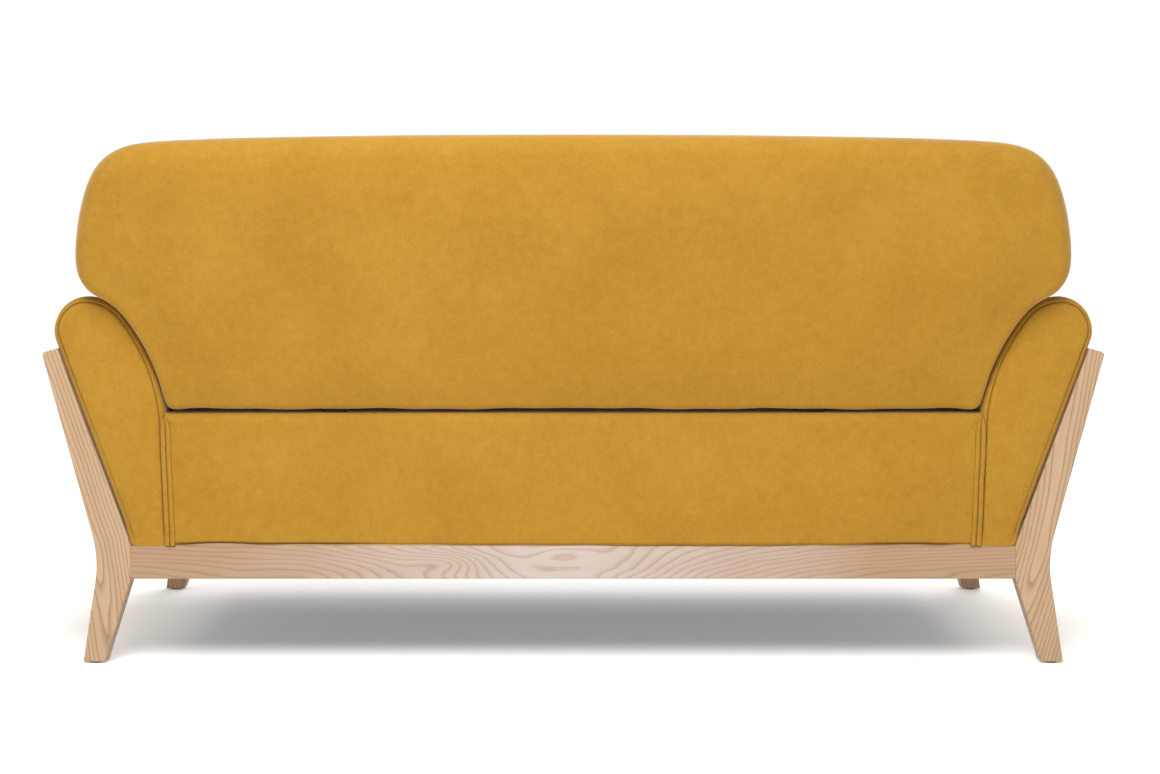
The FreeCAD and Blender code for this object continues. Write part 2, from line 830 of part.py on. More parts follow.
deck_y = (base_front, ledge_front)
base_pieces = {
    "base_front_board": ((base_front, base_front + board), (rail_top, front_board_top)),
    "ledge_top_board": ((ledge_board_front, base_rear - board), (ledge_under, ledge_under + board)),
    "deck_foam": (deck_y, (deck_foam_low, deck_foam_low + cell("deck_foam_thick"))),
    "deck_cloth": (deck_y, (cell("deck_high") - cloth, cell("deck_high"))),
    "front_apron_cover": ((frame_front, base_front), (rail_top, cell("deck_high"))),
}
for label, (y_span, z_span) in base_pieces.items():
    tools = [arm_room]
    if label == "ledge_top_board":
        tools.append(plate_slots)
    keep(cut(f"{label}_cut", box(f"{label}_box", between_arms, y_span, z_span), tools), label)


def ledge_block(name, front, front_low, inset):
    """Everything behind a front face and under the ledge, smaller by an inset, with its rear top edge rounded."""
    rear = frame_rear - inset
    top = cell("ledge_high") - inset
    radius = cell("ledge_round") + cloth - inset
    corners = (
        (rear, rail_top),
        (rear, top - radius),
        (rear - radius, top),
        (front, top),
        (front, front_low),
        (rear - board - 1, front_low),
        (rear - board - 1, rail_top),
    )
    arcs = {1: (rear - radius, top - radius, radius)}
    return side_body(name, corners, between_arms, arcs)


cloth_low = cell("deck_high") - cell("deck_foam_thick")
under_cloth = ledge_block("under_ledge_cloth", ledge_board_front, rail_top + 1, cloth)
ledge_cover = cut(
    "ledge_cover_cut",
    ledge_block("ledge_cover", as_size(ledge_front), cloth_low, as_size(0)),
    [under_cloth, arm_room, plate_slots],
)
keep(ledge_cover, "rear_panel_cover")
seat_rear_board = common(
    "base_rear_board",
    box("base_rear_board_box", between_arms, (base_rear - board, base_rear), (rail_top, cell("ledge_high"))),
    ledge_block("rear_board_room", ledge_board_front, rail_top + 1, cloth),
)
keep(cut("base_rear_board_cut", seat_rear_board, [arm_room, screws]), "base_rear_board")

keep(
    box(
        "ledge_board_box",
        (-side_board_inner, side_board_inner),
        (ledge_board_front, ledge_board_front + board),
        (rail_top, ledge_under),
    ),
    "ledge_front_board",
)
left_side_board = box(
    "side_board_box",
    (side_board_inner, side_board_outer),
    (base_front + board, base_rear - board),
    (rail_top, web_low),
)
keep(left_side_board, "base_left_board")
keep(mirrored("side_board_twin", left_side_board), "base_right_board")
cleat_rear = ledge_board_front
keep(
    box(
        "cleat_box",
        (-side_board_inner, side_board_inner),
        (cleat_rear - cell("cleat_thick"), cleat_rear),
        (front_board_top - cell("cleat_high"), front_board_top),
    ),
    "webbing_cleat",
)

STRAPS_ACROSS = 11
STRAPS_ALONG = 3
strap_room = 2 * side_board_inner
half_web = cell("web_wide") / 2
long_straps = []
for number in range(STRAPS_ACROSS):
    middle = strap_room * ((number + 0.5) / STRAPS_ACROSS) - side_board_inner
    long_straps.append(
        box(
            f"long_strap_{number}",
            (middle - half_web, middle + half_web),
            (base_front, cleat_rear),
            (front_board_top, front_board_top + cell("web_thick")),
        )
    )
keep(group("long_straps", long_straps), "webbing_front_to_back")
cross_straps = []
strap_depth = cleat_rear - cell("cleat_thick") - base_front - board
for number in range(STRAPS_ALONG):
    middle = base_front + board + strap_depth * ((number + 0.5) / STRAPS_ALONG)
    cross_straps.append(
        box(
            f"cross_strap_{number}",
            (-side_board_outer, side_board_outer),
            (middle - half_web, middle + half_web),
            (web_low, web_low + cell("web_thick")),
        )
    )
keep(group("cross_straps", cross_straps), "webbing_side_to_side")

# ---------------------------------------------------------------- backrest


wing_half = crown_x + cell("wing_out")


def back_outline(sketch, inset):
    """The backrest from behind: a foot between the arms, wings over them, two top corners."""
    top = cell("overall_height") - inset
    half = (
        (seat_x(cell("back_low")) + cell("back_foot_in_arm") - inset, cell("back_low")),
        (crown_x - cell("wing_start_in") - inset, cell("arm_top") - cell("wing_start_drop")),
        (wing_half - inset, cell("arm_top") + cell("wing_rise")),
        (crown_x - cell("shoulder_in") - inset, top),
    )
    mirrored_half = tuple((-x, z) for x, z in reversed(half))
    polygon(sketch, half + mirrored_half)


def back_from_behind(name, inset):
    """The outline through the whole depth, with its top corners rounded."""
    reach = cell("overall_depth")
    body = front_body(name, lambda sketch: back_outline(sketch, inset), (0, reach))
    side_rise = cell("overall_height") - cell("arm_top") - cell("wing_rise")
    corner_z = (cell("overall_height") - inset).value
    corner_x = (crown_x - cell("shoulder_in") - inset).value
    round_edges(
        body,
        lambda edge: lies_at(edge, "Z", corner_z)
        and (lies_at(edge, "X", corner_x) or lies_at(edge, "X", -corner_x)),
        smaller(cell("corner_radius"), side_rise * cell("corner_limit")) - inset,
    )
    return body


def front_offset(height, inset):
    """Level distance from the rear face to the front face at a height."""
    rise = (height - cell("back_low")) / (cell("overall_height") - cell("back_low"))
    taper = cell("back_thick_low") - cell("back_thick_high")
    return cell("back_thick_low") - taper * rise - inset


def back_slab(name, rear_offset, front, inset, x_span, roll_rear, roll_front):
    """A leaning layer of the backrest between two level distances from its rear face."""
    low = cell("back_low")
    top = cell("overall_height") - inset
    low_front = front if front else front_offset(low, inset)
    top_front = front if front else front_offset(top, inset)
    corners = (
        lean_line(low, rear_offset),
        lean_line(low, low_front),
        lean_line(top, top_front),
        lean_line(top, rear_offset),
    )
    slab = side_body(name, corners, x_span)
    rolls = []
    if roll_front:
        rolls.append(lean_line(top, top_front)[0].value)
    if roll_rear:
        rolls.append(lean_line(top, rear_offset)[0].value)
    if rolls:
        round_edges(
            slab,
            lambda edge: lies_at(edge, "Z", top.value) and any(lies_at(edge, "Y", y) for y in rolls),
            cell("top_roll") - inset,
        )
    return slab


back_reach = wing_half + 20
zero = as_size(0)
arm_clear = -cell("arm_gap")
arm_clear_cloth = -(cell("arm_gap") + cloth)


def arm_hollow(name, outset):
    """Room for both arms, grown by the gap that the backrest keeps from them."""
    one = arm_body(name, outset, (frame_front, frame_rear + 200))
    return group(f"{name}_pair", [one, mirrored(f"{name}_twin", one)])


outer_hollow = arm_hollow("outer_hollow", arm_clear)
inner_hollow = arm_hollow("inner_hollow", arm_clear_cloth)
inner_outline = back_from_behind("inner_outline", cloth)

whole = common(
    "back_whole",
    back_slab("whole_slab", zero, None, zero, (-back_reach, back_reach), True, True),
    back_from_behind("whole_outline", zero),
)
hollow = common(
    "back_inside",
    back_slab("inside_slab", cloth, None, cloth, (-back_reach, back_reach), True, True),
    inner_outline,
)
back_inside = cut("back_inside_cut", hollow, [inner_hollow])
back_cover = cut("back_cover_cut", whole, [outer_hollow, back_inside])
keep(cut("back_cover_slots", back_cover, [plate_slots]), "back_cover")

stile_rear = cell("rear_pad_thick")
stile_front = stile_rear + cell("stile_thick")
web_front = stile_front + cell("web_thick")
frame_high = cell("overall_height") - cell("back_frame_margin")


def beam(name, x_span, z_span, y_offsets):
    """A leaning frame member between two heights."""
    low, high = z_span
    near, far = y_offsets
    corners = (lean_line(low, far), lean_line(low, near), lean_line(high, near), lean_line(high, far))
    return side_body(name, corners, x_span)


stile_layer = (stile_rear, stile_front)
rail_x = (-half_frame, half_frame)
stile_z = (frame_low + wide, frame_high - wide)
frame_pieces = {
    "back_bottom_rail": beam("back_bottom_rail", rail_x, (frame_low, frame_low + wide), stile_layer),
    "back_top_rail": beam("back_top_rail", rail_x, (frame_high - wide, frame_high), stile_layer),
    "back_left_stile": beam("back_left_stile", (half_frame - wide, half_frame), stile_z, stile_layer),
    "back_right_stile": beam("back_right_stile", (-half_frame, wide - half_frame), stile_z, stile_layer),
    "back_centre_stile": beam("back_centre_stile", (-wide / 2, wide / 2), stile_z, stile_layer),
}
frame_pieces["back_bottom_rail"] = cut("back_bottom_rail_cut", frame_pieces["back_bottom_rail"], [screws])
for label, piece in frame_pieces.items():
    keep(piece, label)

STRAPS_IN_BACK = 5
back_straps = []
for number in range(STRAPS_IN_BACK):
    middle = stile_z[0] + (stile_z[1] - stile_z[0]) * ((number + 0.5) / STRAPS_IN_BACK)
    span = (middle - half_web / 2, middle + half_web / 2)
    back_straps.append(beam(f"back_strap_{number}", rail_x, span, (stile_front, web_front)))
keep(group("back_straps", back_straps), "back_webbing")

frame_room = beam("frame_room", rail_x, (frame_low, frame_high), (stile_rear, web_front + 1))
rear_layer = common(
    "rear_layer",
    back_slab("rear_slab", cloth, web_front, cloth, (-back_reach, back_reach), True, False),
    inner_outline,
)
keep(cut("rear_pad_cut", rear_layer, [inner_hollow, frame_room, bare_plates]), "back_rear_pad")


def front_pad(name, x_span):
    """One of the two thick pads that the sitter leans on."""
    layer = common(
        f"{name}_layer",
        back_slab(f"{name}_slab", web_front, None, cloth, x_span, False, True),
        inner_outline,
    )
    return cut(f"{name}_cut", layer, [inner_hollow])


keep(front_pad("left_pad", (0.5, back_reach)), "back_left_pad")
keep(front_pad("right_pad", (-back_reach, -0.5)), "back_right_pad")

# ---------------------------------------------------------------- loose seat cushions

cushion_low = cell("deck_high") + cell("cushion_lift_gap")
cushion_high = cushion_low + cell("cushion_thick")
cushion_inner = cell("cushion_gap")
cushion_outer = seat_x(cushion_low) - cell("cushion_gap")
cushion_rear = back_y - cell("back_thick_low") - cell("cushion_gap")


def cushion_block(name, inset):
    """A cushion with rounded edges, smaller by the inset all round."""
    low, high = cushion_low + inset, cushion_high - inset
    corners = (
        (cushion_front + inset, low),
        (cushion_rear - inset, low),
        (cushion_rear - inset, high),
        (cushion_front + inset, high),
    )
    block = side_body(name, corners, (cushion_inner + inset, cushion_outer - inset))
    round_edges(block, lambda edge: True, cell("cushion_ease") - inset)
    return block


cushion_core = cushion_block("cushion_core", cloth)
cushion_cover = cut("cushion_cover", cushion_block("cushion_outside", zero), [cushion_core])
for kind, piece in {"core": cushion_core, "cover": cushion_cover}.items():
    keep(piece, f"left_cushion_{kind}")
    keep(mirrored(f"cushion_{kind}_twin", piece), f"right_cushion_{kind}")

# ---------------------------------------------------------------- checks and files

doc.recompute()
for thing in doc.Objects:
    if "Invalid" in thing.State or "Error" in thing.State:
        raise SystemExit(f"{thing.Label} failed: {thing.State}")
for label, piece in parts.items():
    if piece.Shape.isNull() or not piece.Shape.isValid() or not piece.Shape.Solids:
        raise SystemExit(f"{label} has no sound shape")
os.makedirs("parts", exist_ok=True)
for label, piece in parts.items():
    piece.Shape.exportStep(f"parts/{label}.step")
print(len(parts), "pieces")
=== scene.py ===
import json
import math
from functools import partial

import bmesh
import bpy
import numpy as np
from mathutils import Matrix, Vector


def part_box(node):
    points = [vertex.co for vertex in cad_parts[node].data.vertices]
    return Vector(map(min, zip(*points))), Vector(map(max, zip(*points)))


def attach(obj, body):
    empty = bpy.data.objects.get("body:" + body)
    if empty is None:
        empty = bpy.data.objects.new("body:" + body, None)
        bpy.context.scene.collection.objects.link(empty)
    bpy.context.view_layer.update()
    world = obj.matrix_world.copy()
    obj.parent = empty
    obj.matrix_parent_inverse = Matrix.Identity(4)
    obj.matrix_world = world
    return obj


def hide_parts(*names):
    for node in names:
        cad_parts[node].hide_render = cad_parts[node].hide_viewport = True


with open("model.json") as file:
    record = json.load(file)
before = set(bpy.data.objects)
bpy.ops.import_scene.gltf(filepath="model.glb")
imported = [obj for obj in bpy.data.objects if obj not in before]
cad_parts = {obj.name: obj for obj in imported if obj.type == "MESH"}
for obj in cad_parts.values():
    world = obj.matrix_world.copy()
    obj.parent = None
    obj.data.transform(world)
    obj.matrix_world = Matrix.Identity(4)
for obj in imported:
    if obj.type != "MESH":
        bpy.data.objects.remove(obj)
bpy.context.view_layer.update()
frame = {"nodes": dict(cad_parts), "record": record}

# Sofa on splayed ash posts.  Metres, in the frame of the parts: +X the sitter's left, +Y the rear, +Z up.

BODY = "sofa_body"
SIDES = {"left": 1.0, "right": -1.0}

# ---------------------------------------------------------------- places taken from the frame


def corners_of(name):
    """The low and the high corner of a part's box."""
    return (np.array(corner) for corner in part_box(name))


rail_low, rail_high = corners_of("rear_rail")
arm_low, arm_high = corners_of("left_arm_cover")
back_low, _ = corners_of("back_cover")
ledge_low, ledge_high = corners_of("rear_panel_cover")
_, deck_high = corners_of("deck_cloth")
pad_low, pad_high = corners_of("left_cushion_cover")

RAIL_END = rail_high[0]
RAIL_TOP = rail_high[2]
REAR = rail_high[1]
SEAT_SIDE = arm_low[0]
ARM_TOP = arm_high[2]
ARM_FRONT = arm_low[1]
BACK_LOW = back_low[2]

# Lean of the arm's outer side, of its seat side and of the backrest, and the radii of an arm's three arcs.
ARM_FLARE = math.radians(20.5)
SEAT_LEAN = math.radians(2.5)
BACK_LEAN = math.radians(10.7)
CROWN_R = 0.0555
SHOULDER_R = 0.079
CHEEK_R = 0.334
# Room between the backrest and an arm.
ARM_GAP = 0.0025


def back_face(height):
    """Y of the backrest's rear face at a height: a straight line that leans rearwards."""
    return REAR + (height - BACK_LOW) * math.tan(BACK_LEAN)


def seat_x(height):
    """X of an arm's seat side at a height."""
    return SEAT_SIDE + (height - RAIL_TOP) * math.tan(SEAT_LEAN)


# ---------------------------------------------------------------- surfaces on grids


def placed(name, data):
    """A new object in the scene that shows the data."""
    made = bpy.data.objects.new(name, data)
    bpy.context.scene.collection.objects.link(made)
    return made


def new_piece(name, points, faces):
    """A piece at the origin from its points and faces."""
    mesh = bpy.data.meshes.new(name)
    mesh.from_pydata(points, [], faces)
    return placed(name, mesh)


def quads_of(rows, cols, wrap):
    """Corner numbers of a grid's four-sided faces, rows by columns."""
    row = np.arange(rows - 1)[:, None]
    col = np.arange(cols if wrap else cols - 1)[None, :]
    after = (col + 1) % cols
    corners = [row * cols + col, row * cols + after, (row + 1) * cols + after, (row + 1) * cols + col]
    return np.stack(corners, axis=-1).reshape(-1, 4)


def grid_piece(name, grid, wrap=False, flip=False, seams=None):
    """A mesh from a grid of points, rows by columns, with the painted seam shade of its points.

    Columns may wrap round; then a first or last row whose points all meet closes as a pole.
    """
    rows, cols, _ = grid.shape
    quads = quads_of(rows, cols, wrap)
    if flip:
        quads = quads[:, ::-1]
    piece = new_piece(name, grid.reshape(-1, 3).tolist(), quads.tolist())
    if seams is not None:
        store_seam_shade(piece, np.broadcast_to(seams, (rows, cols)))
    if wrap:
        weld(piece)
    piece.data.shade_smooth()
    return piece


def weld(piece, reach=1e-6):
    """Join the points that lie on each other, so that poles and seams are closed, and face outwards."""
    work = bmesh.new()
    work.from_mesh(piece.data)
    bmesh.ops.remove_doubles(work, verts=work.verts, dist=reach)
    bmesh.ops.dissolve_degenerate(work, edges=work.edges, dist=reach)
    bmesh.ops.recalc_face_normals(work, faces=work.faces)
    work.to_mesh(piece.data)
    work.free()


def unit(rows):
    """Each row at length 1."""
    return rows / np.linalg.norm(rows, axis=-1, keepdims=True)


def step_lengths(points):
    """Lengths of a polyline's steps."""
    return np.linalg.norm(np.diff(points, axis=0), axis=1)


def arc(middle, radius, start, end, count=10):
    """Points on a circle's arc between two angles in degrees."""
    turn = np.radians(np.linspace(start, end, count))
    return middle + radius * np.stack([np.cos(turn), np.sin(turn)], axis=1)


def resample(points, count, closed=True):
    """Evenly spaced points along a polyline."""
    if closed:
        points = np.vstack([points, points[:1]])
    along = np.concatenate([[0.0], np.cumsum(step_lengths(points))])
    wanted = np.linspace(0.0, along[-1], count + 1 if closed else count)
    if closed:
        wanted = wanted[:-1]
    return np.stack([np.interp(wanted, along, points[:, axis]) for axis in range(points.shape[1])], axis=1)


def soften(values, reach):
    """Circular Gaussian average of a closed row of values; reach is in samples."""
    count = len(values)
    frequency = np.fft.rfftfreq(count)
    gain = np.exp(-2.0 * (math.pi * frequency * reach) ** 2)
    if values.ndim == 1:
        return np.fft.irfft(np.fft.rfft(values) * gain, count)
    return np.stack([soften(values[:, axis], reach) for axis in range(values.shape[1])], axis=1)


def outward(points):
    """Outward unit normals of a closed anticlockwise outline."""
    along = np.roll(points, -1, axis=0) - np.roll(points, 1, axis=0)
    return unit(np.stack([along[:, 1], -along[:, 0]], axis=1))


def wobble(seed, *coordinates, scale=1.0, octaves=3):
    """Smooth unevenness between about -1 and 1: a sum of seeded sine waves in every coordinate."""
    random = np.random.default_rng(seed)
    total = 0.0
    weight = 0.0
    for octave in range(octaves):
        strength = 0.6 ** octave
        for _ in range(5):
            phase = random.uniform(0, 2 * math.pi)
            wave = phase
            for coordinate in coordinates:
                wave = wave + coordinate * random.normal() * scale * 1.9 ** octave
            total = total + strength * np.sin(wave)
            weight += strength
    return total / weight * 2.0


def dab(distance, width):
    """A soft bump: 1 at no distance, fading as a Gaussian of the width."""
    return np.exp(-0.5 * (distance / width) ** 2)


def closed_cord(name, path, radius, sides=10):
    """A round cord along a closed path: a circle carried on frames that stay upright to the path."""
    along = unit(np.roll(path, -1, axis=0) - np.roll(path, 1, axis=0))
    side = unit(np.cross(along, np.tile(np.array([0.03, 1.0, 0.05]), (len(path), 1))))
    up = np.cross(side, along)
    turn = np.linspace(0, 2 * math.pi, sides, endpoint=False)
    ring = np.cos(turn)[None, :, None] * side[:, None, :] + np.sin(turn)[None, :, None] * up[:, None, :]
    grid = path[:, None, :] + radius * ring
    return grid_piece(name, np.concatenate([grid, grid[:1]]), wrap=True)


# Points along an arm's foot, outer side, crown, shoulder, cheek and seat side.
ARM_POINTS = (24, 72, 48, 32, 60, 84)


def arm_section(outset=0.0, finer=1):
    """Arm section in X and Z, anticlockwise seen from the front, as a closed outline.

    A foot, the flared outer side, three tangent arcs over the crown and the seat side.  The outset grows
    it everywhere but at the foot, and each part keeps its number of points.
    """
    crown_z = ARM_TOP - CROWN_R
    crown_x = RAIL_END + (math.sin(ARM_FLARE) * (crown_z - RAIL_TOP) - CROWN_R) / math.cos(ARM_FLARE)
    crown = np.array([crown_x, crown_z])
    shoulder = np.array([crown_x, ARM_TOP - SHOULDER_R])
    normal = np.array([math.cos(SEAT_LEAN), -math.sin(SEAT_LEAN)])
    way = np.array([math.sin(SEAT_LEAN), math.cos(SEAT_LEAN)])
    foot = np.array([SEAT_SIDE, RAIL_TOP]) + normal * CHEEK_R - shoulder
    half = foot @ way
    slide = -half - math.sqrt(half * half - foot @ foot + (CHEEK_R - SHOULDER_R) ** 2)
    cheek = shoulder + foot + way * slide
    join = math.atan2(*(shoulder - cheek)[::-1])

    def bend(middle, radius, start, end):
        """One tangent arc, between two angles in radians."""
        turn = np.linspace(start, end, 200)
        return middle + (radius + outset) * np.stack([np.cos(turn), np.sin(turn)], axis=1)

    low_outer = np.array([RAIL_END + outset / math.cos(ARM_FLARE), RAIL_TOP])
    low_inner = np.array([SEAT_SIDE - outset / math.cos(SEAT_LEAN), RAIL_TOP])
    over = bend(crown, CROWN_R, -ARM_FLARE, math.pi / 2)
    down = bend(cheek, CHEEK_R, join, math.pi - SEAT_LEAN)
    legs = (
        np.stack([low_inner, low_outer]),
        np.stack([low_outer, over[0]]),
        over,
        bend(shoulder, SHOULDER_R, math.pi / 2, join),
        down,
        np.stack([down[-1], low_inner]),
    )
    return np.vstack([
        resample(leg, count * finer + 1, closed=False)[:-1] for leg, count in zip(legs, ARM_POINTS)
    ])


def close_round(outline, rings, middle):
    """Rings that shrink evenly from an outline to one pole."""
    share = np.linspace(0.0, 1.0, rings + 1)[1:]
    return outline[None] + (middle - outline)[None] * share[:, None, None]


def from_edge(points, outline):
    """Smooth distance from an outline: with I the integral of 1 / r^4 along it, (2 I / pi) ^ (-1/3)."""
    step = np.linalg.norm(np.roll(outline, -1, axis=0) - outline, axis=1)
    rows = []
    for row in points.reshape(-1, outline.shape[0], 2):
        gap = ((row[:, None, :] - outline[None, :, :]) ** 2).sum(axis=-1) + 1e-7
        rows.append(((step[None] / gap ** 2).sum(axis=1) * 2 / math.pi) ** (-1 / 3))
    return np.array(rows).reshape(points.shape[:-1])


def store_seam_shade(piece, values):
    """How deep each point lies in a seam, 0 to 1, kept on the piece; the velour finish darkens by it as
    painted shade.
    """
    seam = piece.data.attributes.new("seam", "FLOAT", "POINT")
    seam.data.foreach_set("value", np.ascontiguousarray(values, dtype=np.float32).ravel())


# How many points are compared with all the others at a time.
BATCH = 2000


def nearest(points, targets):
    """For each point, how far its nearest target is."""
    reach = np.empty(len(points))
    squares = (targets ** 2).sum(axis=1)
    for start in range(0, len(points), BATCH):
        part = points[start:start + BATCH]
        gaps = squares[None] - 2 * part @ targets.T
        least = gaps.min(axis=1) + (part ** 2).sum(axis=1)
        reach[start:start + BATCH] = np.sqrt(np.maximum(least, 0))
    return reach


def points_of(mesh):
    """A mesh's points as rows."""
    flat = np.empty(len(mesh.vertices) * 3)
    mesh.vertices.foreach_get("co", flat)
    return flat.reshape(-1, 3)


def carried(points, sources, moves, width):
    """Moves at points: the average of the sources' moves, weighted by exp(-(r / width)^2 / 2)."""
    points, sources, moves = (rows.astype(np.float32) for rows in (points, sources, moves))
    found = np.empty_like(points)
    squares = (sources ** 2).sum(axis=1)
    for start in range(0, len(points), BATCH):
        part = points[start:start + BATCH]
        gaps = (part ** 2).sum(axis=1)[:, None] + squares[None] - 2 * part @ sources.T
        weight = np.exp(np.maximum(gaps, 0) * (-0.5 / width ** 2)) + 1e-12
        found[start:start + BATCH] = weight @ moves / weight.sum(axis=1, keepdims=True)
    return found.astype(float)


FRAMES = 20
# Moves are averaged over about this length along a ring, and wholly at a pole within the wider one.
EVEN_OVER = 0.003
POLE_OVER = 0.045


def settled(grid, held, most, voxel, slack=0.012, pressure=4.0):
    """A closed form blown up as cloth with air inside, no gravity, and held at its seams.

    A copy is remeshed evenly and simulated for some frames; each grid point takes the moves of the
    simulated points round it, no further than its own limit. Near a pole they run into their average.
    """
    scene = bpy.context.scene
    form = grid_piece("settling_form", grid, wrap=True)
    even = form.modifiers.new("even", "REMESH")
    even.mode = "VOXEL"
    even.voxel_size = voxel
    even_mesh = bpy.data.meshes.new_from_object(form.evaluated_get(bpy.context.evaluated_depsgraph_get()))
    form.modifiers.clear()
    form.data = even_mesh
    start = points_of(even_mesh)
    reach = nearest(start.astype(np.float32), grid[held].astype(np.float32))
    pins = form.vertex_groups.new(name="held")
    pins.add(np.flatnonzero(reach < voxel * 0.9).tolist(), 1.0, "REPLACE")
    cloth = form.modifiers.new("air", "CLOTH")
    cloth.settings.quality = 4
    cloth.settings.use_pressure = True
    cloth.settings.uniform_pressure_force = pressure
    cloth.settings.shrink_min = -slack
    cloth.settings.vertex_group_mass = "held"
    cloth.settings.effector_weights.gravity = 0.0
    cloth.collision_settings.use_self_collision = False
    cloth.collision_settings.use_collision = False
    cloth.point_cache.frame_start = 1
    cloth.point_cache.frame_end = FRAMES
    for frame_number in range(1, FRAMES + 1):
        scene.frame_set(frame_number)
    after = form.evaluated_get(bpy.context.evaluated_depsgraph_get()).to_mesh()
    moves = points_of(after) - start
    bpy.data.objects.remove(form)
    scene.frame_set(1)
    flat = grid.reshape(-1, 3)
    moves = carried(flat, start, moves, voxel).reshape(grid.shape)
    for number, row in enumerate(grid):
        step = np.linalg.norm(np.roll(row, -1, axis=0) - row, axis=1).mean()
        moves[number] = soften(moves[number], min(EVEN_OVER / max(step, 1e-9), len(row) / 6))
        reach = np.linalg.norm(row - row.mean(axis=0), axis=1).mean()
        blend = np.clip(1 - reach / POLE_OVER, 0, 1)
        moves[number] = moves[number] * (1 - blend) + moves[number].mean(axis=0) * blend
    size = np.linalg.norm(moves, axis=-1, keepdims=True)
    limit = np.broadcast_to(most, grid.shape[:2])[..., None]
    moves = moves * (limit * np.tanh(size / np.maximum(limit, 1e-6)) / np.maximum(size, 1e-9))
    moves[0], moves[-1] = moves[0].mean(axis=0), moves[-1].mean(axis=0)
    return grid + moves


# ---------------------------------------------------------------- finishes


def new_group(name, inputs, outputs):
    """A shader node group with named inputs and outputs."""
    group = bpy.data.node_groups.new(name, "ShaderNodeTree")
    for label, kind, default in inputs:
        socket = group.interface.new_socket(label, in_out="INPUT", socket_type=kind)
        if default is not None:
            socket.default_value = default
    for label, kind in outputs:
        group.interface.new_socket(label, in_out="OUTPUT", socket_type=kind)
    start = group.nodes.new("NodeGroupInput")
    end = group.nodes.new("NodeGroupOutput")
    return group, start, end


def feed(tree, socket, value):
    """Link a socket into another, or set it to a plain value."""
    if isinstance(value, bpy.types.NodeSocket):
        tree.links.new(value, socket)
    else:
        socket.default_value = value


def node(tree, kind, links=None, **values):
    """A node with its inputs linked or set by name or number."""
    made = tree.nodes.new(kind)
    for key, value in values.items():
        setattr(made, key, value)
    for key, value in (links or {}).items():
        feed(tree, made.inputs[key], value)
    return made


def math_node(tree, operation, one, two=0.0, three=0.0):
    """The result of one arithmetic step."""
    return node(tree, "ShaderNodeMath", {0: one, 1: two, 2: three}, operation=operation).outputs[0]


def noise(tree, vector, scale, detail=3.0, rough=0.5):
    """A noise value over a vector."""
    values = {"Vector": vector, "Scale": scale, "Detail": detail, "Roughness": rough}
    return node(tree, "ShaderNodeTexNoise", values).outputs["Fac"]


def stretched(tree, vector, *scale):
    """The vector with its three axes scaled."""
    return node(tree, "ShaderNodeMapping", {"Vector": vector, "Scale": scale}).outputs[0]


def ranged(tree, value, low, high):
    """The value carried from a range to 0-1 and kept in it."""
    return node(tree, "ShaderNodeMapRange", {"Value": value, "From Min": low, "From Max": high}).outputs[0]


def blend_colours(tree, factor, one, two, mode="MIX"):
    """Two colours mixed by a factor."""
    made = node(tree, "ShaderNodeMix", data_type="RGBA", blend_type=mode)
    for number, value in ((0, factor), (6, one), (7, two)):
        feed(tree, made.inputs[number], value)
    return made.outputs[2]


def linear(red, green, blue):
    """A colour given as 0-255 screen values, made linear."""
    share = np.array([red, green, blue]) / 255.0
    lin = np.where(share <= 0.04045, share / 12.92, ((share + 0.055) / 1.055) ** 2.4)
    return (*lin.tolist(), 1.0)


def make_pile_group():
    """Brushed velour: broad shading of the pile, small flecks, and a fine nap over a close weave."""
    group, start, end = new_group(
        "brushed_pile",
        (
            ("Vector", "NodeSocketVector", None),
            ("Dark", "NodeSocketColor", (0.3, 0.15, 0.02, 1)),
            ("Light", "NodeSocketColor", (0.6, 0.35, 0.08, 1)),
            ("Fleck", "NodeSocketFloat", 0.5),
        ),
        (("Color", "NodeSocketColor"), ("Height", "NodeSocketFloat"), ("Roughness", "NodeSocketFloat")),
    )
    vector, calc = start.outputs["Vector"], partial(math_node, group)
    broad = noise(group, vector, 7.0, 3.0, 0.5)
    patch = noise(group, vector, 70.0, 4.0, 0.65)
    fleck = noise(group, vector, 330.0, 3.0, 0.75)
    nap = noise(group, vector, 2300.0, 2.0, 0.6)
    thread = noise(group, stretched(group, vector, 1500.0, 300.0, 260.0), 1.0, 2.0, 0.6)
    weft = noise(group, stretched(group, vector, 260.0, 300.0, 1500.0), 1.0, 2.0, 0.6)
    weave = calc("MULTIPLY", calc("ADD", thread, weft), 0.5)
    clouds = calc("MULTIPLY_ADD", broad, 0.35, calc("MULTIPLY", patch, 0.45))
    flecks = calc("MULTIPLY", calc("ADD", fleck, weave), start.outputs["Fleck"])
    tone = ranged(group, calc("ADD", clouds, flecks), 0.62, 1.18)
    colour = blend_colours(group, tone, start.outputs["Dark"], start.outputs["Light"])
    height = calc("MULTIPLY_ADD", fleck, 0.7, calc("ADD", calc("MULTIPLY", nap, 0.5), weave))
    feed(group, end.inputs["Color"], colour)
    feed(group, end.inputs["Height"], height)
    feed(group, end.inputs["Roughness"], calc("MULTIPLY_ADD", patch, 0.12, 0.82))
    return group


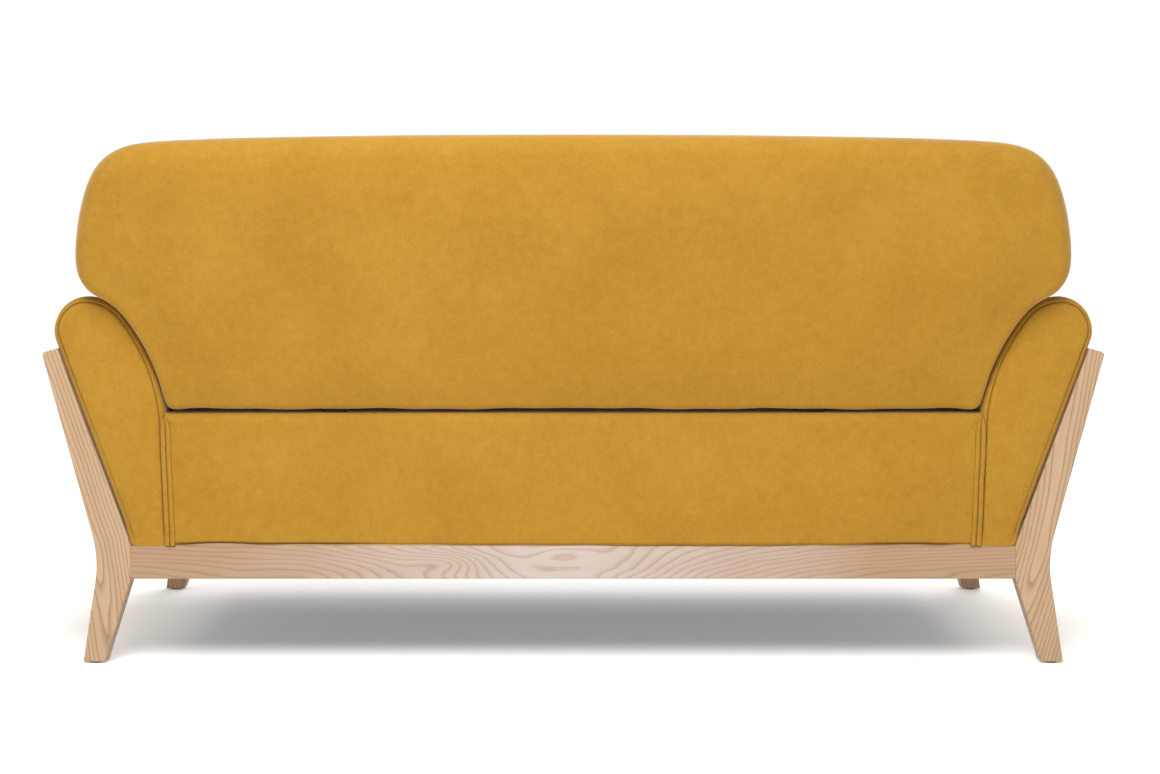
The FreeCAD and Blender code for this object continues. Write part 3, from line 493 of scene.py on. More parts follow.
def make_ash_group():
    """Ash: growth rings round a pith that wanders under the face, open pores, and soft changes of tone.

    Along is the way of the grain.  The ring number is the distance from the pith line, whose depth
    under the face changes along the board, so arches stand where it comes near.
    """
    group, start, end = new_group(
        "ash_grain",
        (
            ("Vector", "NodeSocketVector", None),
            ("Light", "NodeSocketColor", (0.75, 0.6, 0.45, 1)),
            ("Dark", "NodeSocketColor", (0.5, 0.32, 0.2, 1)),
            ("Depth", "NodeSocketFloat", 0.02),
            ("Arch", "NodeSocketFloat", 0.1),
            ("Spacing", "NodeSocketFloat", 0.006),
            ("Shift", "NodeSocketFloat", 0.0),
            ("Bend", "NodeSocketFloat", 4.0),
        ),
        (("Color", "NodeSocketColor"), ("Height", "NodeSocketFloat"), ("Roughness", "NodeSocketFloat")),
    )
    vector, calc = start.outputs["Vector"], partial(math_node, group)
    along, across, deep = node(group, "ShaderNodeSeparateXYZ", {0: vector}).outputs
    drift = noise(group, stretched(group, vector, 3.0, 14.0, 14.0), 1.0, 2.0, 0.5)
    drift = calc("MULTIPLY", calc("SUBTRACT", drift, 0.5), 0.045)
    rise = calc("MULTIPLY", calc("ABSOLUTE", along), start.outputs["Arch"])
    pith = calc("ADD", calc("ADD", start.outputs["Depth"], rise), deep)
    level = calc("ADD", calc("ADD", across, drift), start.outputs["Shift"])
    one, two = (calc("POWER", calc("ABSOLUTE", value), 2.0) for value in (pith, level))
    reach = calc("SQRT", calc("ADD", one, two))
    bent = calc("ADD", calc("DIVIDE", reach, start.outputs["Bend"]), 1.0)
    reach = calc("MULTIPLY", calc("LOGARITHM", bent, math.e), start.outputs["Bend"])
    shake = calc("MULTIPLY", noise(group, stretched(group, vector, 10.0, 120.0, 120.0), 1.0, 3.0, 0.6), 0.35)
    ring = calc("FRACT", calc("ADD", calc("DIVIDE", reach, start.outputs["Spacing"]), shake))
    late = node(group, "ShaderNodeValToRGB", {0: ring})
    ramp = late.color_ramp
    ramp.elements[0].position, ramp.elements[0].color = 0.0, (1, 1, 1, 1)
    ramp.elements[1].position, ramp.elements[1].color = 1.0, (0.0, 0.0, 0.0, 1)
    for place, shade in ((0.10, 0.85), (0.3, 0.25), (0.55, 0.1), (0.93, 0.12), (0.985, 0.9)):
        element = ramp.elements.new(place)
        element.color = (shade, shade, shade, 1)
    pores = noise(group, stretched(group, vector, 55.0, 1900.0, 1900.0), 1.0, 2.0, 0.55)
    pores = ranged(group, pores, 0.55, 0.75)
    streaks = noise(group, stretched(group, vector, 2.2, 60.0, 60.0), 1.0, 3.0, 0.6)
    amount = calc("MULTIPLY_ADD", late.outputs[0], 0.62, calc("MULTIPLY", streaks, 0.45))
    amount = calc("SUBTRACT", calc("MULTIPLY_ADD", pores, 0.16, amount), 0.12)
    clamped = node(group, "ShaderNodeClamp", {0: amount}).outputs[0]
    colour = blend_colours(group, clamped, start.outputs["Light"], start.outputs["Dark"])
    height = calc("SUBTRACT", 1.0, calc("MULTIPLY_ADD", pores, 0.6, late.outputs[0]))
    feed(group, end.inputs["Color"], colour)
    feed(group, end.inputs["Height"], height)
    feed(group, end.inputs["Roughness"], calc("MULTIPLY_ADD", clamped, 0.12, 0.48))
    return group


PILE = make_pile_group()
ASH = make_ash_group()


def start_finish(name):
    """A new material with its shader, its own tree and Object coordinates."""
    finish = bpy.data.materials.new(name)
    finish.use_nodes = True
    tree = finish.node_tree
    shader = next(n for n in tree.nodes if n.type == "BSDF_PRINCIPLED")
    place = tree.nodes.new("ShaderNodeTexCoord").outputs["Object"]
    return finish, tree, shader, place


def bump_into(tree, shader, height, strength, distance):
    """A bump from a height."""
    bump = node(tree, "ShaderNodeBump", {"Height": height, "Strength": strength, "Distance": distance})
    tree.links.new(bump.outputs[0], shader.inputs["Normal"])


def velour(name, dark, light, fleck=0.5, strength=0.35):
    """The sofa's brushed velour, darkened by each piece's seam value as painted shade."""
    finish, tree, shader, place = start_finish(name)
    pile = node(tree, "ShaderNodeGroup", node_tree=PILE)
    for label, value in {"Vector": place, "Dark": dark, "Light": light, "Fleck": fleck}.items():
        feed(tree, pile.inputs[label], value)
    # Painted shade: the seam value darkens the velour towards this colour in seams, grooves, the backrest's
    # channel and under the rear hem.
    seam = node(tree, "ShaderNodeAttribute", attribute_name="seam").outputs["Fac"]
    seam_shade_colour = blend_colours(tree, 1.0, pile.outputs["Color"], linear(150, 126, 98), "MULTIPLY")
    seam_shaded_colour = blend_colours(tree, seam, pile.outputs["Color"], seam_shade_colour)
    tree.links.new(seam_shaded_colour, shader.inputs["Base Color"])
    tree.links.new(pile.outputs["Roughness"], shader.inputs["Roughness"])
    shader.inputs["Specular IOR Level"].default_value = 0.12
    shader.inputs["Sheen Weight"].default_value = 0.62
    shader.inputs["Sheen Roughness"].default_value = 0.38
    shader.inputs["Sheen Tint"].default_value = (1.0, 0.88, 0.66, 1.0)
    bump_into(tree, shader, pile.outputs["Height"], strength, 0.0006)
    return finish


def hill(tree, place, x, z, wide, high, strength):
    """A Gaussian hill over X and Z."""
    calc = partial(math_node, tree)
    apart = node(tree, "ShaderNodeSeparateXYZ", {0: place}).outputs
    along = calc("DIVIDE", calc("SUBTRACT", apart[0], x), wide)
    up = calc("DIVIDE", calc("SUBTRACT", apart[2], z), high)
    total = calc("MULTIPLY_ADD", along, along, calc("MULTIPLY", up, up))
    return calc("MULTIPLY", calc("EXPONENT", calc("MULTIPLY", total, -1.0)), strength)


def ash(name, turn, offset, depth, arch, spacing=0.0062, light=(186, 158, 126), dark=(132, 97, 66)):
    """Ash with its grain one way: the offset moves a board's middle to zero, the turn lays its grain on X."""
    finish, tree, shader, place = start_finish(name)
    moved = node(tree, "ShaderNodeVectorMath", {0: place, 1: offset}, operation="SUBTRACT").outputs[0]
    laid = node(tree, "ShaderNodeMapping", {"Vector": moved, "Rotation": turn}).outputs[0]
    grain = node(tree, "ShaderNodeGroup", node_tree=ASH)
    colours = {"Light": linear(*light), "Dark": linear(*dark)}
    for label, value in {"Vector": laid, **colours, "Depth": depth, "Arch": arch, "Spacing": spacing}.items():
        feed(tree, grain.inputs[label], value)
    tree.links.new(grain.outputs["Color"], shader.inputs["Base Color"])
    tree.links.new(grain.outputs["Roughness"], shader.inputs["Roughness"])
    shader.inputs["Specular IOR Level"].default_value = 0.35
    bump_into(tree, shader, grain.outputs["Height"], 0.25, 0.0003)
    return finish


def rail_ash(name, offset, middle, eyes):
    """A long rail: grain that sweeps down at the middle, where it closes round a few eyes, and a colour that
    turns paler and greyer towards the middle.

    The shift of the rings is 0.032 / sqrt(x^2 + 0.2^2), and each eye lowers them by a Gaussian hill.
    """
    finish = ash(name, (0.0, 0.0, 0.0), offset, 0.006, 0.0, 0.0056)
    tree = finish.node_tree
    grain = next(n for n in tree.nodes if n.type == "GROUP")
    place = next(n for n in tree.nodes if n.type == "TEX_COORD").outputs["Object"]
    calc = partial(math_node, tree)
    x = calc("SUBTRACT", node(tree, "ShaderNodeSeparateXYZ", {0: place}).outputs[0], middle)
    shift = calc("DIVIDE", 0.032, calc("SQRT", calc("MULTIPLY_ADD", x, x, 0.04)))
    for eye in eyes:
        shift = calc("SUBTRACT", shift, hill(tree, place, *eye))
    tree.links.new(shift, grain.inputs["Shift"])
    grain.inputs["Bend"].default_value = 0.03
    grain.inputs["Spacing"].default_value = 0.0012
    pale = calc("MULTIPLY_ADD", noise(tree, place, 5.0, 2.0), 0.25, calc("ABSOLUTE", x))
    tan = ranged(tree, pale, 0.22, 0.66)
    tones = {"Light": ((189, 176, 167), (169, 138, 109)), "Dark": ((160, 137, 122), (140, 108, 80))}
    for label, (near, far) in tones.items():
        tree.links.new(blend_colours(tree, tan, linear(*near), linear(*far)), grain.inputs[label])
    return finish


def speckled(name, dark, light, scale, rough, strength, metal=0.0):
    """A plain hidden finish: two tones of noise, with a matching bump."""
    finish, tree, shader, place = start_finish(name)
    fine = noise(tree, place, scale, 4.0, 0.6)
    tree.links.new(blend_colours(tree, fine, linear(*dark), linear(*light)), shader.inputs["Base Color"])
    shader.inputs["Metallic"].default_value = metal
    tree.links.new(math_node(tree, "MULTIPLY_ADD", fine, 0.15, rough), shader.inputs["Roughness"])
    bump_into(tree, shader, fine, strength, 0.0005)
    return finish


OCHRE_DARK = linear(146, 103, 26)
OCHRE_LIGHT = linear(173, 131, 47)
velour_finish = velour("ochre_velour", OCHRE_DARK, OCHRE_LIGHT)
thread_finish = speckled("ochre_thread", (150, 104, 30), (182, 136, 52), 900.0, 0.7, 0.3)
foam_finish = speckled("open_foam", (196, 184, 150), (218, 208, 178), 700.0, 0.85, 0.5)
board_finish = speckled("plywood_board", (166, 134, 90), (190, 160, 116), 60.0, 0.6, 0.2)
# Painted shade: the zinc steel parts seen in the gap under the backrest are coloured near black for the shade
# in that gap.
steel_finish = speckled("zinc_plate_painted_shade", (40, 34, 28), (66, 58, 48), 240.0, 0.55, 0.1, metal=0.5)
web_finish = speckled("elastic_web", (52, 48, 44), (96, 88, 80), 500.0, 0.8, 0.4)
dust_finish = speckled("black_dust_cloth", (16, 16, 16), (38, 38, 38), 600.0, 0.9, 0.4)
felt_finish = speckled("grey_felt", (92, 86, 78), (130, 124, 114), 800.0, 0.95, 0.5)


def give(piece, finish):
    """The piece's only finish."""
    piece.data.materials.clear()
    piece.data.materials.append(finish)


def reslot(name, finish):
    """A better finish on a CAD node's own slots."""
    for material_slot in frame["nodes"][name].material_slots:
        material_slot.material = finish


HALF_TURN = math.pi / 2
rail_middle = ((rail_low + rail_high) / 2).tolist()
rear_eyes = ((0.209, 0.167, 0.060, 0.016, 0.022), (0.017, 0.180, 0.055, 0.015, 0.020))
reslot("rear_rail", rail_ash("ash_rear_rail", (0.0, rail_middle[1], 0.10), 0.02, rear_eyes))
front_eyes = ((-0.26, 0.172, 0.060, 0.017, 0.022), (0.31, 0.160, 0.050, 0.015, 0.019))
reslot("front_rail", rail_ash("ash_front_rail", (0.0, ARM_FRONT, 0.08), -0.08, front_eyes))
for side in SIDES:
    low, high = corners_of(f"{side}_side_rail")
    middle = ((low + high) / 2).tolist()
    reslot(f"{side}_side_rail", ash(f"ash_{side}_side_rail", (0.0, 0.0, HALF_TURN), middle, 0.03, 0.02))
for end in ("front", "rear"):
    for side, sign in SIDES.items():
        low, high = corners_of(f"{end}_{side}_post")
        turn = (0.0, HALF_TURN - sign * 0.24, 0.0)
        foot = (sign * 0.79, (low[1] + high[1]) / 2, 0.20)
        depth = 0.010 if end == "rear" else 0.016
        grain = ash(f"ash_{end}_{side}_post", turn, foot, depth, 0.10 if side == "left" else 0.06)
        reslot(f"{end}_{side}_post", grain)

hidden = {
    "beech": ash(
        "beech_parts", (0.0, 0.0, 0.0), (0.0, 0.0, 0.0), 0.05, 0.01, 0.004, (190, 156, 118), (160, 124, 90)
    ),
    "softwood": ash(
        "softwood_parts", (0.0, 0.0, 0.0), (0.0, 0.3, 0.5), 0.06, 0.02, 0.005, (196, 168, 124), (166, 128, 82)
    ),
    "plywood": board_finish,
    "zinc_steel": steel_finish,
    "webbing": web_finish,
    "foam": foam_finish,
    "felt": felt_finish,
    "dust_cloth": dust_finish,
    "velour": velour_finish,
}
for entry in frame["record"]["subparts"]:
    if entry["material_slot"] in hidden:
        reslot(entry["node"], hidden[entry["material_slot"]])

# ---------------------------------------------------------------- arms

ARM_AROUND = sum(ARM_POINTS)
# Inset from the outline and depth behind the end, from the arm's side over the boxing strip to the end panel.
ARM_END = np.array([
    (0.0000, 0.0200), (0.0002, 0.0150), (0.0008, 0.0110), (0.0019, 0.0076), (0.0036, 0.0046),
    (0.0056, 0.0027), (0.0074, 0.0017), (0.0084, 0.0018), (0.0091, 0.0027), (0.0096, 0.0035),
    (0.0102, 0.0027), (0.0110, 0.0015), (0.0126, 0.0007), (0.0150, 0.0003), (0.0190, 0.0000),
])
ARM_MIDDLE = np.array([0.748, 0.385])
# How far an end panel is crowned, over what distance from its edge, and how far it is down at its edge.
END_CROWN = 0.0046
END_FADE = 0.022
END_START = 0.42
MOST_SUNK = 0.0008
# How far the air may move an end panel or a foot, and how much more the cheek above the seat.
FIRM = 0.0007
CHEEK_GIVE = 0.0060
arm_moves = {}


def make_arm(side, sign):
    """An arm's cover: the section carried from end to end, rolled over into a crowned panel at each end."""
    outline = soften(arm_section(), 1.2)
    normal = outward(outline)
    seed = 11 if side == "left" else 12
    around = np.arange(ARM_AROUND) / ARM_AROUND
    above_foot = np.clip((outline[:, 1] - RAIL_TOP - 0.002) / 0.030, 0, 1)
    inset, depth = ARM_END[:, 0][:, None], ARM_END[:, 1][:, None]

    def sunk(points):
        """How far the end panel is sunk: END_CROWN * (exp(-distance from the edge / END_FADE) - END_START)."""
        return END_CROWN * (np.exp(-from_edge(points, outline) / END_FADE) - END_START)

    def end_rows(place, way):
        """Rows from the side to the pole: place is the end's Y and way points out of the sofa."""
        strip = np.stack([soften(arm_section(-step), 1.2) for step in ARM_END[:, 0]])
        level = depth * (0.12 + 0.88 * above_foot[None])
        pucker = 0.0007 * wobble(seed + 3, around * 190, scale=1.0) * above_foot
        level = level + pucker[None] * dab(inset - 0.013, 0.004)
        rings = close_round(strip[-1], 18, ARM_MIDDLE)
        level = level + np.clip(sunk(strip[-1][None]), 0, MOST_SUNK) * (inset / inset[-1]) ** 2
        dimple = 0.0006 * wobble(seed + 5, rings[..., 0] * 26, rings[..., 1] * 16)
        fade = np.linspace(0, 1, 19)[1:, None] ** 0.5
        inner = dimple * fade + np.minimum(sunk(rings), MOST_SUNK)
        inner[-1] = inner[-1].mean()
        flat = np.concatenate([strip, rings])
        y = place - way * np.concatenate([level, inner])
        return np.stack([flat[..., 0], y, flat[..., 1]], axis=-1)

    rear = end_rows(REAR, 1.0)
    front = end_rows(ARM_FRONT, -1.0)
    length = REAR - ARM_FRONT - 2 * ARM_END[0, 1]
    rows = 90
    share = np.linspace(0, 1, rows + 2)[1:-1][:, None]
    y = ARM_FRONT + ARM_END[0, 1] + length * share
    end_fade = np.clip(np.minimum(share, 1 - share) * length / 0.05, 0, 1)
    ripple = 0.0012 * wobble(seed, around[None] * 30, y * 11) * above_foot[None] * end_fade
    body = outline[None] + normal[None] * ripple[..., None]
    barrel = np.stack([body[..., 0], np.broadcast_to(y, body.shape[:2]), body[..., 1]], axis=-1)
    grid = np.concatenate([rear[::-1], barrel[::-1], front])
    grid[..., 0] *= sign
    # Painted shade: the seam value darkens the velour along the groove round each end panel, fading at the
    # foot and lower down the outer side.
    groove = np.zeros(len(rear))
    groove[: len(ARM_END)] = dab(ARM_END[:, 0] - 0.0096, 0.0008)
    seams = np.concatenate([groove[::-1], np.zeros(rows), groove])[:, None]
    outer_low = np.clip((outline[:, 1] - 0.34) / 0.14, 0.25, 1) * (outline[:, 0] > ARM_MIDDLE[0])
    seams = 0.6 * seams * (above_foot * np.where(outline[:, 0] > ARM_MIDDLE[0], outer_low, 1.0))[None]
    if side == "left":
        held = (seams > 0.4) | (grid[..., 2] < RAIL_TOP + 0.008)
        cheek = np.clip((outline[:, 0] - 0.70) / 0.08, 0, 1) * np.clip((outline[:, 1] - 0.56) / 0.04, 0, 1)
        most = np.full(grid.shape[:2], FIRM)
        most[len(rear):-len(front)] += CHEEK_GIVE * cheek[None] * end_fade
        arm_moves["left"] = settled(grid, held, most, 0.010) - grid
    grid = grid + arm_moves["left"] * np.array([sign, 1.0, 1.0])
    arm = grid_piece(f"{side}_arm", grid, wrap=True, seams=seams)
    give(arm, velour_finish)
    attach(arm, BODY)
    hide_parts(f"{side}_arm_cover", f"{side}_arm_foam", f"{side}_arm_welts")


for side, sign in SIDES.items():
    make_arm(side, sign)

# ---------------------------------------------------------------- backrest

BACK_AROUND = 780
FOOT_LOW = 0.4240
# Depth at the foot, how much less at the top, and how far the rear and the front are crowned.
BACK_DEPTH = 0.160
BACK_TAPER = 0.030
REAR_CROWN = 0.0125
FRONT_CROWN = 0.024
# Half outline from the top middle round the corner to where the wing meets the arm.
BACK_HALF = np.array([
    (0.000, 0.8792), (0.260, 0.8782), (0.517, 0.8743), (0.637, 0.8705), (0.700, 0.8668), (0.736, 0.8610),
    (0.766, 0.8465), (0.789, 0.8225), (0.804, 0.7900), (0.8135, 0.7575), (0.820, 0.7240), (0.8235, 0.6930),
    (0.824, 0.6640), (0.819, 0.6420), (0.809, 0.6260),
])


def curve_through(points, steps=24):
    """Catmull-Rom curve through chosen points."""
    padded = np.vstack([2 * points[0] - points[1], points, 2 * points[-1] - points[-2]])
    before, start, end, after = padded[:-3], padded[1:-2], padded[2:-1], padded[3:]
    share = np.linspace(0, 1, steps, endpoint=False)[None, :, None]
    before, start, end, after = (p[:, None] for p in (before, start, end, after))
    run = 0.5 * (
        2 * start
        + (end - before) * share
        + (2 * before - 5 * start + 4 * end - after) * share ** 2
        + (3 * start - before - 3 * end + after) * share ** 3
    )
    return np.vstack([run.reshape(-1, 2), points[-1]])


def back_outline(count):
    """The backrest's outline in X and Z, anticlockwise: top, corners, wings, arms and foot, mirrored."""
    side = curve_through(BACK_HALF)
    arm = arm_section(ARM_GAP, 5)
    on_seat_side = (arm[:, 0] < 0.7965) & (arm[:, 1] > BACK_LOW + 0.002)
    hollow = arm[on_seat_side]
    hollow = hollow[np.argsort(-hollow[:, 1])]
    foot_x = np.linspace(hollow[-1, 0] - 0.004, 0.0, 200)
    foot_z = FOOT_LOW + 0.0009 * np.sin(foot_x * 23.0) + 0.0007 * np.sin(foot_x * 61.0 + 1.0)
    foot_z = foot_z - 0.0035 * np.clip((foot_x - 0.64) / 0.03, 0, 1)
    half = np.vstack([side, hollow, np.stack([foot_x, foot_z], axis=1)])
    other = half[::-1][1:-1] * np.array([-1.0, 1.0])
    whole = np.vstack([half, other])[::-1]
    return soften(resample(whole, count), 2.5)


def make_backrest():
    """One padded piece: its outline carried through its depth, rolled at both faces, both faces crowned."""
    outline = back_outline(BACK_AROUND)
    normal = outward(outline)
    x, z = outline[:, 0], outline[:, 1]
    near_arm = (np.abs(x) > 0.67) & (z < 0.625)
    roll = np.where(near_arm, 0.010, np.where(z > 0.80, 0.040, np.where(z < 0.45, 0.012, 0.030)))
    roll = soften(roll, 14.0)
    front_share = 1.15

    def depth_at(height):
        """Depth of the backrest at a height."""
        return BACK_DEPTH - BACK_TAPER * (height - BACK_LOW) / (0.88 - BACK_LOW)

    depth_here = depth_at(z)
    middle = np.array([0.0, 0.655])
    rings = 46

    def face(turns, from_front):
        """Rolled edge: a quarter ellipse whose inset and depth are the local roll radius."""
        reach = roll * (front_share if from_front else 1.0)
        inset = reach[None] * (1 - np.cos(turns))[:, None]
        depth = reach[None] * (1 - np.sin(turns))[:, None]
        flat = outline[None] - normal[None] * inset[..., None]
        return flat, depth

    def crown(points, fade):
        """Rise of a face, 0 at its edge to 1: exp(-0.012 / fade) - exp(-distance from the edge / fade)."""
        return np.clip(math.exp(-0.012 / fade) - np.exp(-from_edge(points, outline) / fade), 0, 1)

    turns = np.linspace(0.0, math.pi / 2, 10)
    growing = (np.linspace(0.0, 1.0, 10) ** 2)[:, None]
    rear_flat, rear_depth = face(turns, False)
    rear_depth = rear_depth - REAR_CROWN * crown(rear_flat[-1][None], 0.085) * growing
    rear_in = close_round(rear_flat[-1], rings, middle)
    rear_rise = crown(rear_in, 0.085)
    rear_crown = (0.0014 * wobble(31, rear_in[..., 0] * 6, rear_in[..., 1] * 8) - REAR_CROWN) * rear_rise
    front_flat, front_depth = face(turns, True)
    front_depth = front_depth - FRONT_CROWN * crown(front_flat[-1][None], 0.07) * growing
    front_in = close_round(front_flat[-1], rings, middle)
    front_rise = crown(front_in, 0.07)
    channel = np.exp(-np.abs(front_in[..., 0]) / 0.024)
    fold = 0.0014 * wobble(32, front_in[..., 0] * 7, front_in[..., 1] * 9)
    in_face = np.clip(front_rise * 6, 0, 1)
    front_crown = -(FRONT_CROWN * (1 - channel) + fold) * front_rise + 0.006 * channel * in_face

    def rows(flat, level):
        """Level distance in front of the rear face, as points."""
        y = back_face(flat[..., 1]) - level
        return np.stack([flat[..., 0], y, flat[..., 1]], axis=-1)

    rear_cap = rows(rear_in, rear_crown)
    rear_edge = rows(rear_flat, rear_depth)
    share = np.linspace(0, 1, 16)[1:-1][:, None]
    side_start = roll[None]
    side_end = depth_here[None] - roll[None] * front_share
    swell = 0.0015 * np.sin(share * math.pi)
    side_level = side_start + (side_end - side_start) * share
    side_flat = outline[None] + normal[None] * (swell * np.where(near_arm, 0.0, 1.0))[..., None]
    side = rows(side_flat, side_level)
    front_edge = rows(front_flat, depth_here[None] - front_depth)
    front_cap = rows(front_in, depth_at(front_in[..., 1]) - front_crown)
    for cap in (front_cap, rear_cap):
        cap[-1] = cap[-1].mean(axis=0)
    grid = np.concatenate([rear_cap[::-1], rear_edge[::-1], side, front_edge, front_cap])
    # Painted shade: the seam value darkens the velour along the channel down the middle of the front face.
    in_channel = 0.7 * dab(front_in[..., 0], 0.0035) * in_face
    seams = np.concatenate([np.zeros((len(grid) - rings, BACK_AROUND)), in_channel])
    held = np.zeros(grid.shape[:2], dtype=bool)
    held[rings + len(turns):-rings - len(turns)] = (near_arm | (z < 0.45) | (np.abs(x) > 0.80))[None]
    held[-rings:] = in_channel > 0.5
    edge = np.zeros((len(grid) - 2 * rings, BACK_AROUND))
    inner = np.clip(np.concatenate([rear_rise[::-1], edge, front_rise]), 0, 1)
    reach = np.where(np.arange(len(grid)) < len(grid) // 2, 0.003, 0.010)[:, None]
    grid = settled(grid, held, 0.0006 + np.clip(inner * 3, 0, 1) * reach, 0.012, slack=0.0)
    back = grid_piece("backrest", grid, wrap=True, seams=seams)
    give(back, velour_finish)
    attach(back, BODY)
    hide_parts("back_cover", "back_left_pad", "back_right_pad", "back_rear_pad")


make_backrest()

# ---------------------------------------------------------------- lower rear panel and ledge

PANEL_ROLL = 0.015
HEM_ROLL = 0.004
# Where the hem stands open, how widely and how far; then the creases at the top corners, angle and depth.
HEM_OPEN = ((0.590, 0.045, 0.0034), (0.43, 0.08, 0.0014), (-0.56, 0.07, 0.0016))
CREASES = ((0.3, 0.0010), (0.95, 0.0008), (1.4, 0.0005))


def panel_profile():
    """Y and Z from the hem on the rail, up the rear, over the ledge and down to the deck, corners rolled."""
    top = ledge_high[2]
    front = ledge_low[1]
    hem = RAIL_TOP + 0.0012
    return np.vstack([
        (REAR - 0.010, hem),
        arc((REAR - HEM_ROLL, hem + HEM_ROLL), HEM_ROLL, -90, 0),
        arc((REAR - PANEL_ROLL, top - PANEL_ROLL), PANEL_ROLL, 0, 90),
        arc((front + HEM_ROLL, top - HEM_ROLL), HEM_ROLL, 90, 180),
        (front, deck_high[2] - 0.02),
    ])


def carried_across(profile, count, ease):
    """X, Y and Z of a profile carried from arm to arm, closer at the seams, and the half width there."""
    share = np.sin(np.linspace(-1, 1, count) * math.pi / 2)[None, :]
    y, z = profile[:, 0][:, None], profile[:, 1][:, None]
    half = seat_x(np.clip(z, RAIL_TOP, 1.0)) + ease
    return share * half, y, z, half


def make_rear_panel():
    """A cloth sheet: its profile from arm to arm, pulled a little at the seams and loose along the hem."""
    profile = resample(panel_profile(), 150, closed=False)
    along = np.gradient(profile, axis=0)
    out = unit(np.stack([along[:, 1], -along[:, 0]], axis=1))
    x, y, z, half = carried_across(profile, 420, 0.0015)
    rear_side = np.clip((y - (REAR - 0.03)) / 0.03, 0, 1)
    from_seam = half - np.abs(x)
    pull = np.clip(from_seam / 0.03, 0, 1)
    lift = 0.0016 * wobble(41, x * 5.0, z * 9.0) * pull * rear_side
    lift = lift + 0.0020 * dab(z - (RAIL_TOP + 0.11), 0.07) * pull * rear_side
    hem = dab(z - RAIL_TOP, 0.012) * rear_side
    lift = lift + 0.0011 * wobble(42, x * 26.0, z * 5.0) * hem
    open_hem = sum(rise * dab(x - middle, wide) for middle, wide, rise in HEM_OPEN)
    z = z + (open_hem + 0.0004 * wobble(43, x * 40.0)) * dab(z - RAIL_TOP, 0.010) * rear_side
    run_x, run_z = from_seam - 0.010, ledge_high[2] - 0.018 - z
    for angle, strength in CREASES:
        across = run_x * math.sin(angle) - run_z * math.cos(angle)
        reach = run_x * math.cos(angle) + run_z * math.sin(angle)
        crease = dab(across, 0.0026 + 0.06 * np.clip(reach, 0, 1)) * dab(reach - 0.012, 0.016)
        lift = lift - strength * crease * rear_side
    lift = lift + 0.0007 * rear_side
    grid = np.stack([x, y + out[:, 0][:, None] * lift, z + out[:, 1][:, None] * lift], axis=-1)
    # Painted shadow: the seam value darkens the hem's turned-in cloth at the rail, most where the hem stands
    # open.
    hem_shadow = (np.clip((RAIL_TOP + 0.0065 - profile[:, 1]) / 0.003, 0, 1) * (profile[:, 0] > 0.25))[:, None]
    panel = grid_piece("rear_panel", grid, seams=hem_shadow * np.clip(open_hem[:1] / 0.0012, 0.3, 1))
    give(panel, velour_finish)
    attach(panel, BODY)
    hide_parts("rear_panel_cover")


make_rear_panel()

# ---------------------------------------------------------------- topstitched bands

BAND_HALF = 0.009
BAND_TOP = 0.408


def make_band(side, sign):
    """Raised seam: two pressed ridges with a groove between, carried up the seam and pinched at the top."""
    z = np.linspace(RAIL_TOP + 0.0008, BAND_TOP, 170)
    seed = 51 if side == "left" else 54
    wave = 0.0007 * wobble(seed, z * 45)
    across = np.linspace(-1, 1, 45)
    ridge = 0.0034 * np.sqrt(np.clip(1 - (np.abs(np.abs(across) - 0.5) / 0.5) ** 2.2, 0, 1))
    taper = np.clip((BAND_TOP - z) / 0.020, 0, 1) ** 0.6
    pucker = 1 + 0.16 * wobble(seed + 1, z[:, None] * 150, across[None] * 2)
    pucker = pucker * (1 - 0.5 * dab(z - 0.214, 0.0016)[:, None] * dab(across, 0.5)[None])
    half = BAND_HALF * (0.35 + 0.65 * taper)
    x = (seat_x(z) + wave)[:, None] + across[None] * half[:, None]
    y = REAR + 0.0002 + ridge[None] * pucker * (0.35 + 0.65 * taper)[:, None]
    y = y - np.where(np.abs(across) > 0.999, 0.0020, 0.0)[None]
    grid = np.stack([sign * x, y, np.broadcast_to(z[:, None], x.shape)], axis=-1)
    # Painted shade: the seam value darkens the velour in the groove between the ridges and along the band's
    # edges.
    seams = 0.75 * np.clip(dab(np.abs(across) - 1.0, 0.09) + dab(across, 0.08), 0, 1)[None]
    band = grid_piece(f"{side}_seam_band", grid, flip=sign < 0, seams=seams)
    give(band, velour_finish)
    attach(band, BODY)
    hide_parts(f"rear_{side}_band")


for side, sign in SIDES.items():
    make_band(side, sign)


# Points round a stitch and along it; its length, its half thickness and the step from one to the next.
BEAD_AROUND, BEAD_ALONG = 6, 4
STITCH_LONG, STITCH_THICK, STITCH_STEP = 0.0034, 0.00045, 0.0046


